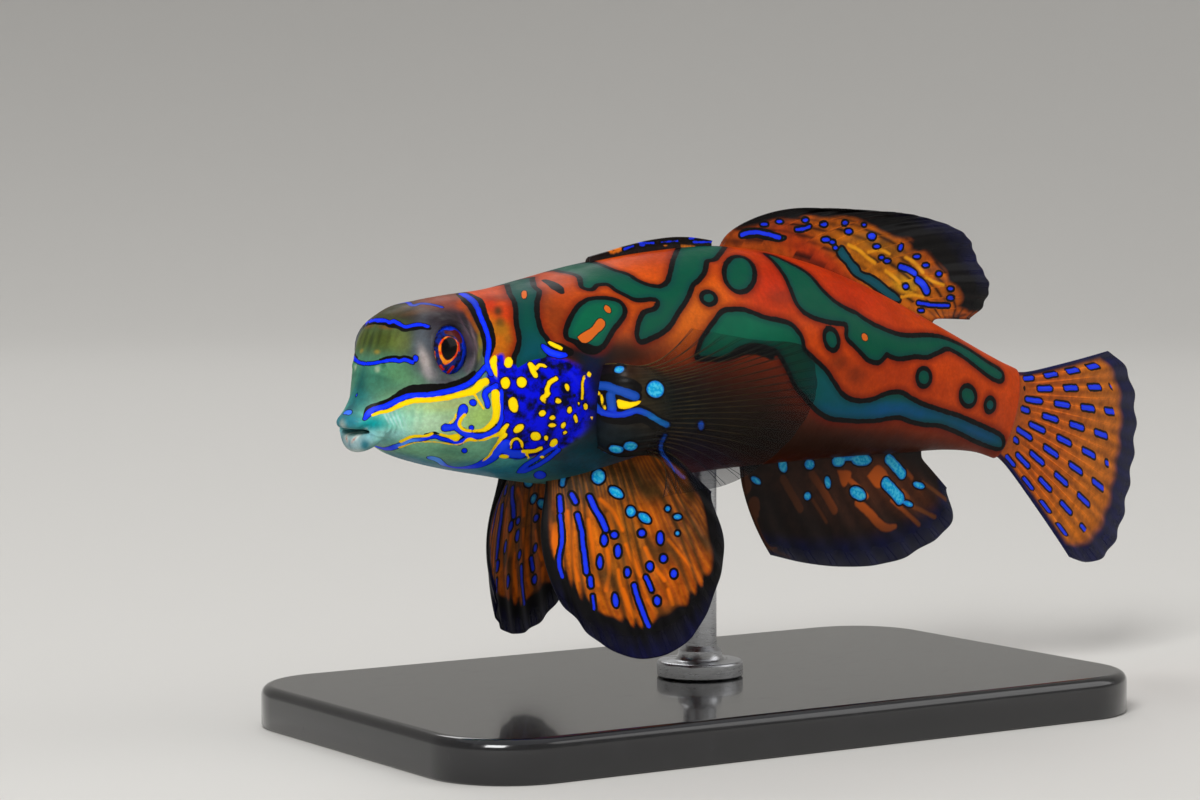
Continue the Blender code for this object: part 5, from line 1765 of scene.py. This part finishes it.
def fin_paint(name, rays=False):
    paint = Paint(name)
    ground = paint.stored("ground", "Color")
    streaks = paint.ramp(paint.noise(1400.0, 4.0, 0.65), 0.35, 0.7)
    ground = paint.mix(paint.math("MULTIPLY", streaks, 0.45), ground, tone(60, 30, 10), "MULTIPLY")
    if rays:
        ground = paint.mix(0.5, ground, (1.5, 1.45, 1.4), "MULTIPLY")
    paint.set(
        Base_Color=painted(paint, ground, FIN_MARKS),
        Roughness=0.45,
        Specular_IOR_Level=0.1,
        Coat_Weight=0.04,
        Coat_Roughness=0.2,
        Alpha=1.0 if rays else paint.stored("cover"),
        Normal=paint.bump(paint.noise(4200.0, 3.0), 0.02 * MM, 0.5),
    )
    return paint.material


FIN_SKIN = fin_paint("fin_membrane")
FIN_RAYS = fin_paint("fin_ray", rays=True)
print(FIN_SKIN.name, FIN_RAYS.name)

# %% Building a fin
def sheet_faces(rows, columns):
    """Faces of a thin closed sheet: a front grid, a back grid and the rim between them."""
    i, j = np.meshgrid(np.arange(rows - 1), np.arange(columns - 1), indexing="ij")
    a = (i * columns + j).ravel()
    front = np.stack([a, a + columns, a + columns + 1, a + 1], 1)
    back = front[:, ::-1] + rows * columns
    number = np.arange(rows * columns).reshape(rows, columns)
    rim = np.concatenate([number[:, 0], number[-1, 1:], number[-2::-1, -1], number[0, -2:0:-1]])
    after = np.roll(rim, -1)
    side = np.stack([after, rim, rim + rows * columns, after + rows * columns], 1)
    return np.vstack([front, back, side]).tolist()


def grid_at(grid, u, v):
    """Values of a grid between its points."""
    i = np.clip(u, 0.0, 1.0) * (grid.shape[0] - 1)
    j = np.clip(v, 0.0, 1.0) * (grid.shape[1] - 1)
    i0, j0 = np.minimum(i.astype(int), grid.shape[0] - 2), np.minimum(j.astype(int), grid.shape[1] - 2)
    a, b = i - i0, j - j0
    if grid.ndim == 3:
        a, b = a[..., None], b[..., None]
    return (
        grid[i0, j0] * (1 - a) * (1 - b)
        + grid[i0 + 1, j0] * a * (1 - b)
        + grid[i0, j0 + 1] * (1 - a) * b
        + grid[i0 + 1, j0 + 1] * a * b
    )


def ray_lines(rays, branch, split, points=46):
    """Places (u, v) along forking rays."""
    lines = []
    gap = 1.0 / (rays - 1)
    v = np.linspace(0.0, 1.0, points)
    for number in range(rays):
        for way in (-1, 1) if split else (0,):
            u = number * gap + way * split * gap * step_up(v, branch, 1.25)
            start = 0 if way <= 0 else int(np.searchsorted(v, branch * 0.9))
            lines.append((np.clip(u, 0.0, 1.0)[start:], v[start:]))
    return lines


def turn_outwards(piece):
    """Turns the faces over if they point inwards."""
    work = bmesh.new()
    work.from_mesh(piece.data)
    if work.calc_volume(signed=True) < 0:
        bmesh.ops.reverse_faces(work, faces=work.faces)
        work.to_mesh(piece.data)
    work.free()


def make_fin(
    name, node, surface, size, thickness, fields, ripple, rays, ray_radius, mirror=False, ray_colour=None
):
    """A membrane and its rays, on the left side or on the middle, and for a paired fin its
    mirror image. fields(chart, u, v) gives the paint, and rays says how many rays there are,
    where they fork and how far they part."""
    u, v = np.meshgrid(np.linspace(0, 1, size[0]), np.linspace(0, 1, size[1]), indexing="ij")

    def rippled(u, v):
        middle = surface(u, v)
        d = 1e-3
        normal = np.cross(surface(u, v + d) - surface(u, v - d), surface(u + d, v) - surface(u - d, v))
        normal /= np.maximum(np.linalg.norm(normal, axis=-1, keepdims=True), 1e-12)
        return middle + (ripple(u, v) * MM)[..., None] * normal, normal

    middle, normal = rippled(u, v)
    values = fields(Chart(middle), u, v)
    pleat = np.cos(2.0 * math.pi * u * (rays[0] - 1)) * step_up(v, 0.05, 0.3)
    values["ground"] = values["ground"] * (0.8 + 0.2 * pleat)[..., None]
    half = (0.5 * thickness(u, v) * MM)[..., None] * normal
    lines = ray_lines(*rays)
    where = np.vstack([np.stack(line, 1) for line in lines])
    for side, word in ((-1, "_left"), (1, "_right")) if mirror else ((-1, ""),):
        flip = np.array([1.0, -side, 1.0])
        both = np.vstack([((middle + way * half) * flip).reshape(-1, 3) for way in (1, -1)])
        membrane = mesh_object(name + "_membrane" + word, posed(both), sheet_faces(*size), FIN_SKIN)
        write_marks(membrane, values, copies=2)
        turn_outwards(membrane)
        settle(membrane, node + word)
        room = [posed(rippled(*line)[0] * flip) for line in lines]
        paint = {key: grid_at(grid, *where.T)[:, None] for key, grid in values.items()}
        if ray_colour:
            far = step_up(where[:, 1], 0.6, 0.95)[:, None, None]
            paint["ground"] = (1 - far) * tone(*ray_colour) + far * paint["ground"]
        paint["ray_width"] = (1.0 - 0.8 * where[:, 1])[:, None]
        rods = grow_rays(name + "_rays" + word, room, paint, ray_radius * MM, 6, FIN_RAYS)
        settle(rods, None)

# %% [markdown]
# ## The fins on the back
# The first back fin is folded flat, so it shows as a low dark strip with blue dashes. The second
# stands half open in soft steps, and its rays fork once.

# %% Second dorsal fin
EDGES = ("black_edge", "band_edge", "hole_edge", "orange_edge", "blue_edge", "cyan_edge", "yellow_edge")
TINTS = {"band_tint": (14, 84, 110), "line_tint": (16, 46, 232), "orange_tint": (226, 122, 26)}


def fin_values(u, ground, **edges):
    """The full set of paint for a fin. What isn't given is far away."""
    values = {"ground": ground}
    for name in EDGES:
        values[name] = edges.get(name, np.full(u.shape, FAR))
    for name, base in TINTS.items():
        values[name] = edges.get(name, np.broadcast_to(tone(*base), (*u.shape, 3)))
    values["cover"] = edges.get("cover", np.ones(u.shape))
    return values


def dorsal_fields(chart, u, v):
    coloured = chart.field(DORSAL_COLOURED, 3.0)
    at = pixels(chart.room)
    ground = washed(
        at,
        (196, 84, 10),
        (
            (770, 228, 40, 14, -10, (130, 48, 12), 0.7),
            (870, 262, 60, 34, 30, (214, 128, 14), 0.8),
            (925, 296, 34, 26, 0, (220, 120, 16), 0.7),
            (820, 262, 50, 16, 35, (200, 48, 8), 0.85),
            (880, 245, 30, 8, 20, (120, 90, 20), 0.5),
            (905, 285, 14, 10, 20, (236, 190, 30), 0.6),
        ),
    )
    row = np.floor(u * 14.0)
    cell = v * 9.0 + 0.5 * (row % 2) + 0.35 * np.sin(2.3 * row)
    net = hump(cell - np.floor(cell), 0.5, 0.2) * (0.65 + 0.35 * np.sin(5.1 * row + 2.0 * np.floor(cell)))
    ground = ground * (1.0 - 0.93 * net)[..., None]
    margin = step_up(coloured, -0.15, 0.25)
    outer = step_up(coloured, 1.0, 2.6)
    dark = (1 - outer)[..., None] * tone(12, 9, 10) + outer[..., None] * tone(14, 14, 62)
    ground = ground + margin[..., None] * (dark - ground)
    band = chart.field(DORSAL_BAND)
    blue = chart.field(DORSAL_BLUE)
    return fin_values(
        u,
        ground,
        band_edge=band,
        black_edge=band - 0.16,
        blue_edge=blue,
        orange_edge=chart.field(DORSAL_ORANGE),
        orange_tint=np.broadcast_to(tone(222, 146, 20), (*u.shape, 3)),
        cover=1.0 - 0.12 * step_up(v, 0.75, 1.0),
    )


def dorsal_ripple(u, v):
    steps = np.sin(2.0 * math.pi * u * (len(SECOND_DORSAL) - 1) / 2.0)
    fine = np.sin(2.0 * math.pi * u * (len(SECOND_DORSAL) - 1) * 2.0)
    return (0.25 * steps + 0.06 * fine) * np.clip(v, 0.0, 1.0)


def thin(root, edge):
    """Thickness in millimetres that falls from the root to the edge."""
    return lambda u, v: edge + (root - edge) * np.exp(-v / 0.12)


make_fin(
    "second_dorsal", "fin_dorsal_second", unpaired(SECOND_DORSAL, 1), (170, 90), thin(0.5, 0.1),
    dorsal_fields, dorsal_ripple, rays=(15, 0.45, 0.22), ray_radius=0.11,
)

# %% First dorsal fin
FIRST_DORSAL_BLUE = (
    stroke(2, (692, 242), (702, 242), (711.5, 242)), stroke(2, (723, 242), (736, 242.6), (750, 243.4)),
    spot(640.7, 244.9, 3, 1.6),
    spot(668.7, 254.5, 2.6, 1.6), spot(690, 238.3, 3, 1.2), stroke(2, (623, 249), (632, 246)),
    stroke(2, (639, 243), (652, 243)), stroke(1.6, (660, 242), (676, 241)),
)
FIRST_DORSAL_ORANGE = (
    stroke(2.4, (612, 252), (622, 247)), stroke(2.6, (633, 243.5), (640, 242), (648, 241)),
    stroke(2.4, (650, 257), (656, 256)), stroke(2.4, (668, 252), (676, 254)),
    stroke(2, (680, 246), (692, 247)),
    stroke(2, (700, 238), (716, 238)),
)


def strip_fields(chart, u, v):
    ground = np.broadcast_to(tone(30, 16, 12), (*u.shape, 3))
    blue, orange = chart.field(FIRST_DORSAL_BLUE), chart.field(FIRST_DORSAL_ORANGE)
    return fin_values(u, ground, blue_edge=blue, orange_edge=orange)


def strip_ripple(u, v):
    return 0.03 * np.sin(30 * u) * v


make_fin(
    "first_dorsal", "fin_dorsal_first", first_dorsal, (120, 14), thin(0.7, 0.3),
    strip_fields, strip_ripple, rays=(4, 0.5, 0.0), ray_radius=0.16,
)

# %% [markdown]
# ## The fins under the tail and at its end
# The anal fin is nearly black, with cyan drops near its root and orange flames below them. The
# tail fin is hidden in the photograph. It follows the species: a rounded fan of ten rays,
# orange with blue dashes and a dark blue edge.

# %% Anal fin
def anal_fields(chart, u, v):
    at = pixels(chart.room)
    ground = washed(
        at,
        (30, 18, 14),
        (
            (880, 480, 60, 22, 30, (110, 54, 22), 0.75),
            (830, 490, 60, 26, 30, (72, 38, 20), 0.7),
            (728, 492, 14, 20, 20, (170, 120, 96), 0.5),
            (780, 480, 34, 14, 20, (54, 30, 18), 0.6),
        ),
    )
    margin = step_up(v, 0.62, 0.82)
    ground = ground + margin[..., None] * (tone(10, 14, 52) - ground)
    return fin_values(
        u,
        ground,
        cyan_edge=chart.field(ANAL_CYAN),
        orange_edge=chart.field(ANAL_ORANGE),
        orange_tint=washed(
            at,
            (70, 36, 16),
            ((872, 488, 44, 34, 30, (186, 84, 20), 0.95), (930, 500, 30, 24, 0, (96, 52, 20), 0.8)),
        ),
        cover=1.0 - 0.14 * step_up(v, 0.7, 1.0),
    )


def soft_ripple(rays, height):
    return lambda u, v: height * np.sin(2.0 * math.pi * u * (rays - 1)) * np.clip(v, 0.0, 1.0)


make_fin(
    "anal", "fin_anal", unpaired(ANAL, -1), (150, 84), thin(0.5, 0.1),
    anal_fields, soft_ripple(7, 0.1), rays=(13, 0.45, 0.22), ray_radius=0.1,
)

# %% Tail fin
CAUDAL_DASHES = 5


def caudal_fields(chart, u, v):
    rays = CAUDAL_RAYS - 1
    x = u * rays
    across = np.abs(x - np.floor(x) - 0.5) * (0.55 + 1.0 * v)  # mm from the middle of a membrane
    number = np.floor(x)
    along = v * CAUDAL_DASHES + 0.37 * number
    from_dash = (np.abs(along - np.floor(along) - 0.5) * 2.6 - 0.55) * 1.0
    dash = np.hypot(across * 1.2, np.maximum(from_dash, 0.0)) - 0.16
    dash = dash + 2.0 * step_up(v, 0.78, 0.8) + 2.0 * (1.0 - step_up(v, 0.06, 0.08))
    ground = np.broadcast_to(tone(206, 98, 20), (*u.shape, 3)).copy()
    ground += step_up(v, 0.3, 0.7)[..., None] * 0.5 * (tone(226, 134, 30) - ground)
    edge = np.maximum(step_up(v, 0.8, 0.88), step_up(np.abs(u - 0.5), 0.46, 0.49))
    ground += edge[..., None] * (tone(12, 16, 70) - ground)
    root = 1.0 - step_up(v, 0.0, 0.12)
    ground += root[..., None] * 0.5 * (tone(150, 56, 16) - ground)
    return fin_values(u, ground, blue_edge=dash, cover=1.0 - 0.12 * step_up(v, 0.7, 1.0))


def caudal_thickness(u, v):
    return 0.1 + 1.7 * np.exp(-v / 0.05) * np.sin(math.pi * np.clip(u, 0.06, 0.94)) ** 0.5


make_fin(
    "tail", "fin_caudal", caudal, (130, 120), caudal_thickness,
    caudal_fields, soft_ripple(CAUDAL_RAYS, 0.1), rays=(CAUDAL_RAYS * 2 - 1, 0.4, 0.25), ray_radius=0.13,
)

# %% [markdown]
# ## The paired fins
# The pelvic fins are the broad fans that the fish walks on. The pectoral fins stand on fleshy
# lobes and are so fine that the flank shows through them. The right ones are the mirror image
# of the left ones.

# %% Pelvic fins
def pelvic_fields(chart, u, v):
    at = pixels(chart.room)
    ground = washed(
        at,
        (190, 84, 4),
        (
            (600, 540, 50, 60, 0, (224, 112, 4), 0.85),
            (660, 580, 40, 40, 0, (200, 88, 8), 0.7),
            (615, 560, 14, 40, 8, (120, 84, 30), 0.5),
            (640, 545, 40, 10, 60, (110, 84, 36), 0.5),
            (610, 480, 80, 24, 0, (84, 64, 38), 0.9),
            (690, 520, 30, 40, 0, (84, 62, 40), 0.7),
            (570, 490, 24, 26, 0, (70, 66, 56), 0.7),
        ),
    )
    drift = 0.6 * np.sin(2.0 * math.pi * (3.3 * u + 0.8 * v))
    streak = 0.5 + 0.5 * np.sin(2.0 * math.pi * (13.0 * u + drift))
    flame = tone(222, 104, 4)
    fine = 0.5 + 0.5 * np.sin(2.0 * math.pi * (41.0 * u + 0.3 * np.sin(17.0 * v + 9.0 * u)))
    ground += (0.8 * streak**2)[..., None] * (tone(70, 54, 20) - ground)
    ground += (0.4 * fine**2 * (1.0 - streak))[..., None] * (tone(240, 136, 12) - ground)
    coloured = chart.field(PELVIC_COLOURED, 3.0) + 0.3 * (streak - 0.4) * step_up(v, 0.4, 0.7)
    margin = step_up(coloured, -0.12, 0.2)
    outer = step_up(coloured, 0.5, 2.0)
    dark = (1 - outer)[..., None] * tone(10, 8, 10) + outer[..., None] * tone(10, 12, 58)
    ground = ground + margin[..., None] * (dark - ground)
    return fin_values(
        u,
        ground,
        blue_edge=chart.field(PELVIC_BLUE),
        cyan_edge=chart.field(PELVIC_CYAN),
        orange_edge=np.maximum(chart.field(PELVIC_ORANGE), coloured),
        orange_tint=flame + (0.75 * streak**2)[..., None] * (tone(112, 66, 14) - flame),
        cover=1.0 - 0.1 * step_up(v, 0.8, 1.0),
    )


make_fin(
    "pelvic", "fin_pelvic", pelvic, (140, 110), thin(0.6, 0.12),
    pelvic_fields, soft_ripple(10, 0.08), rays=(19, 0.35, 0.25), ray_radius=0.1, mirror=True,
)

# %% Pectoral fins
LOBE, LOBE_SHARE = 1.4, 0.42
PECTORAL_RAYS = 27


def pectoral_thickness(u, v):
    lobe = np.clip(1.0 - v / LOBE_SHARE, 0.0, 1.0) ** 0.8
    return 0.07 + LOBE * lobe * np.sin(math.pi * np.clip(u, 0.04, 0.96)) ** 0.6


def pectoral_fields(chart, u, v):
    at = pixels(chart.room)
    ground = washed(
        at,
        (14, 18, 18),
        (
            (632, 396, 38, 50, 0, (60, 48, 30), 0.9),
            (655, 395, 16, 30, 0, (44, 40, 26), 0.7),
            (620, 366, 30, 14, 0, (56, 30, 14), 0.8),
            (605, 400, 13, 60, 0, (10, 12, 30), 0.95),
            (616, 436, 34, 18, 0, (20, 34, 40), 0.85),
            (690, 390, 30, 40, 0, (10, 30, 32), 0.8),
            (740, 400, 40, 40, 0, (24, 22, 14), 0.6),
            (700, 460, 40, 24, 30, (4, 10, 40), 0.8),
        ),
    )
    blue, cyan = chart.field(PECTORAL_BLUE), chart.field(PECTORAL_CYAN)
    lobe = 1.0 - step_up(v, 0.25, 0.5)
    clear = (0.35 + 0.65 * step_up(u, 0.02, 0.3)) * (1.0 - 0.7 * step_up(u, 0.86, 1.0))
    return fin_values(
        u,
        ground,
        blue_edge=blue,
        cyan_edge=cyan,
        yellow_edge=chart.field(PECTORAL_YELLOW),
        black_edge=chart.field(PECTORAL_BLACK),
        line_tint=washed(
            at,
            (6, 62, 150),
            ((655, 418, 20, 10, 0, (4, 106, 166), 0.8), (618, 412, 24, 6, 0, (10, 40, 220), 0.7)),
        ),
        cover=np.maximum(lobe, (0.62 - 0.25 * v) * clear),
    )


make_fin(
    "pectoral", "fin_pectoral", pectoral, (140, 120), pectoral_thickness,
    pectoral_fields, soft_ripple(14, 0.06), rays=(PECTORAL_RAYS, 0.6, 0.18), ray_radius=0.06,
    mirror=True, ray_colour=(70, 56, 26),
)

# %% [markdown]
# ## The stand
# The living fish swims, and the model needs something to hold it. A flat acrylic plate with a
# polished edge and one thin steel rod disturb the sight of the fish least. The plate's bevel is
# what makes it look cut and polished rather than like a block.

# %% Plate
BASE_LENGTH, BASE_WIDTH, BASE_THICKNESS = 48.0 * MM, 29.0 * MM, 2.5 * MM
BASE_CORNER, BASE_EDGE, BASE_FOOT_EDGE = 5.0 * MM, 0.6 * MM, 0.15 * MM
ROD_S, ROD_RADIUS = 50.0, 1.0 * MM
ROD_FOOT_RADIUS, ROD_FOOT_HEIGHT = 2.6 * MM, 1.0 * MM
COLLAR_CHAMFER, COLLAR_ROUND, NECK_FILLET = 0.1 * MM, 0.2 * MM, 0.6 * MM
ROD_AROUND = 48

acrylic = Paint("black_acrylic")
scuffs = acrylic.ramp(acrylic.noise(700.0, 6.0, 0.7, (1.0, 6.0, 1.0)), 0.5, 0.8)
acrylic.set(
    Base_Color=acrylic.mix(scuffs, tone(18, 18, 21), tone(34, 34, 38)),
    Roughness=acrylic.ramp(scuffs, 0.0, 1.0, 0.16, 0.3),
    Coat_Weight=0.5,
    Coat_Roughness=0.05,
)
outline = []
for corner, start in (((1, 1), 0), ((-1, 1), 90), ((-1, -1), 180), ((1, -1), 270)):
    for angle in np.radians(np.linspace(start, start + 90, 15)):
        outline.append(
            (
                corner[0] * (BASE_LENGTH / 2 - BASE_CORNER) + BASE_CORNER * math.cos(angle),
                corner[1] * (BASE_WIDTH / 2 - BASE_CORNER) + BASE_CORNER * math.sin(angle),
            )
        )
outline = np.array(outline)
core = np.array([BASE_LENGTH, BASE_WIDTH]) / 2 - BASE_CORNER
outward = (outline - np.clip(outline, -core, core)) / BASE_CORNER
levels = [(BASE_FOOT_EDGE, 0.0), (0.0, BASE_FOOT_EDGE)]
for a in np.linspace(0.0, math.pi / 2, 8):
    levels.append((BASE_EDGE * (1 - math.cos(a)), BASE_THICKNESS - BASE_EDGE * (1 - math.sin(a))))
rings = np.array([[(*(p - inset * o), z) for p, o in zip(outline, outward)] for inset, z in levels])
around, top_ring = len(outline), (len(levels) - 1) * len(outline)
faces = [tuple(range(around - 1, -1, -1)), *tube_faces(len(levels), around, around)]
faces.append(tuple(range(top_ring, top_ring + around)))
plate = mesh_object("display_plate", rings.reshape(-1, 3), faces, acrylic.material, smooth=False)
for face in plate.data.polygons[1:-1]:
    face.use_smooth = True
settle(plate, "stand_base")

# %% Rod
steel = Paint("brushed_steel")
lines = steel.noise(1500.0, 3.0, 0.6, (1.0, 1.0, 9.0))
steel.set(
    Base_Color=steel.mix(lines, tone(150, 152, 156), tone(206, 207, 210)),
    Metallic=1.0,
    Roughness=steel.ramp(lines, 0.2, 0.8, 0.22, 0.42),
    Normal=steel.bump(lines, 0.01 * MM, 0.4),
)
belly = posed(body_point(row_at(ROD_S), math.pi))
foot, collar = BASE_THICKNESS + 0.02 * MM, BASE_THICKNESS + ROD_FOOT_HEIGHT
profile = [
    (0.0, foot),
    (ROD_FOOT_RADIUS - COLLAR_CHAMFER, foot),
    (ROD_FOOT_RADIUS, foot + COLLAR_CHAMFER),
    (ROD_FOOT_RADIUS, collar - COLLAR_ROUND),
]
for a in np.linspace(0.2, math.pi / 2, 5):
    radius = ROD_FOOT_RADIUS - COLLAR_ROUND * (1 - math.cos(a))
    profile.append((radius, collar - COLLAR_ROUND * (1 - math.sin(a))))
for a in np.linspace(0.1, math.pi / 2, 6):
    radius = 1.3 * ROD_RADIUS + NECK_FILLET / 2 * (1 - math.sin(a))
    profile.append((radius, collar + NECK_FILLET * (1 - math.cos(a))))
profile += [
    (ROD_RADIUS, collar + 0.9 * MM),
    (ROD_RADIUS, belly[2] - 0.5 * MM),
    (ROD_RADIUS, belly[2] + 0.4 * MM),
    (0.0, belly[2] + 0.5 * MM),
]
points = turned(profile, ROD_AROUND, *belly[:2])
rod = mesh_object("display_rod", points, tube_faces(len(profile), ROD_AROUND, ROD_AROUND), steel.material)
weld(rod, 1e-7)
rod.data.set_sharp_from_angle(angle=math.radians(40))
settle(rod, "stand_rod")

# %% [markdown]
# ## The studio
# A pale floor and large soft lights show colours as they are. The main light stands on the
# camera's left and above, where the photographer's lamp was, and a weaker one opens the shadows
# on the other side.

# %% Floor
FLOOR_RADIUS, SWEEP_RADIUS, SWEEP_TOP = 0.5, 0.7, 1.6
FLOOR_AROUND = 96
sweep = [(FLOOR_RADIUS / 2, 0.0)]
for angle in np.linspace(0.0, math.pi / 2, 24):
    sweep.append((FLOOR_RADIUS + SWEEP_RADIUS * math.sin(angle), SWEEP_RADIUS * (1 - math.cos(angle))))
sweep.append((FLOOR_RADIUS + SWEEP_RADIUS, SWEEP_TOP))
points = [(0.0, 0.0, 0.0), *turned(sweep, FLOOR_AROUND)]
faces = [(0, 1 + j, 1 + (j + 1) % FLOOR_AROUND) for j in range(FLOOR_AROUND)]
for quad in tube_faces(len(sweep), FLOOR_AROUND, FLOOR_AROUND):
    faces.append([1 + number for number in reversed(quad)])
floor_paint = Paint("pale_floor")
floor_paint.set(Base_Color=tone(214, 212, 208), Roughness=0.8)
floor = mesh_object("floor", points, faces, floor_paint.material)
print("floor reaches", FLOOR_RADIUS + SWEEP_RADIUS, "m")

# %% Light
world = bpy.data.worlds.new("studio")
world.use_nodes = True
world.node_tree.nodes["Background"].inputs["Color"].default_value = (0.80, 0.81, 0.83, 1.0)
world.node_tree.nodes["Background"].inputs["Strength"].default_value = 0.62
bpy.context.scene.world = world


def soft_light(name, place, size, power):
    light = bpy.data.lights.new(name, "AREA")
    light.size = size
    light.energy = power
    lamp = bpy.data.objects.new(name, light)
    lamp.location = place
    lamp.rotation_euler = (AIM - Vector(place)).to_track_quat("-Z", "Y").to_euler()
    bpy.context.scene.collection.objects.link(lamp)


soft_light("main_light", (-0.40, -0.32, 0.42), 0.26, 3.2)
soft_light("side_light", (0.42, -0.30, 0.34), 0.40, 0.7)
soft_light("back_light", (0.15, 0.45, 0.50), 0.30, 0.9)
print(len(bpy.data.lights), "lights")
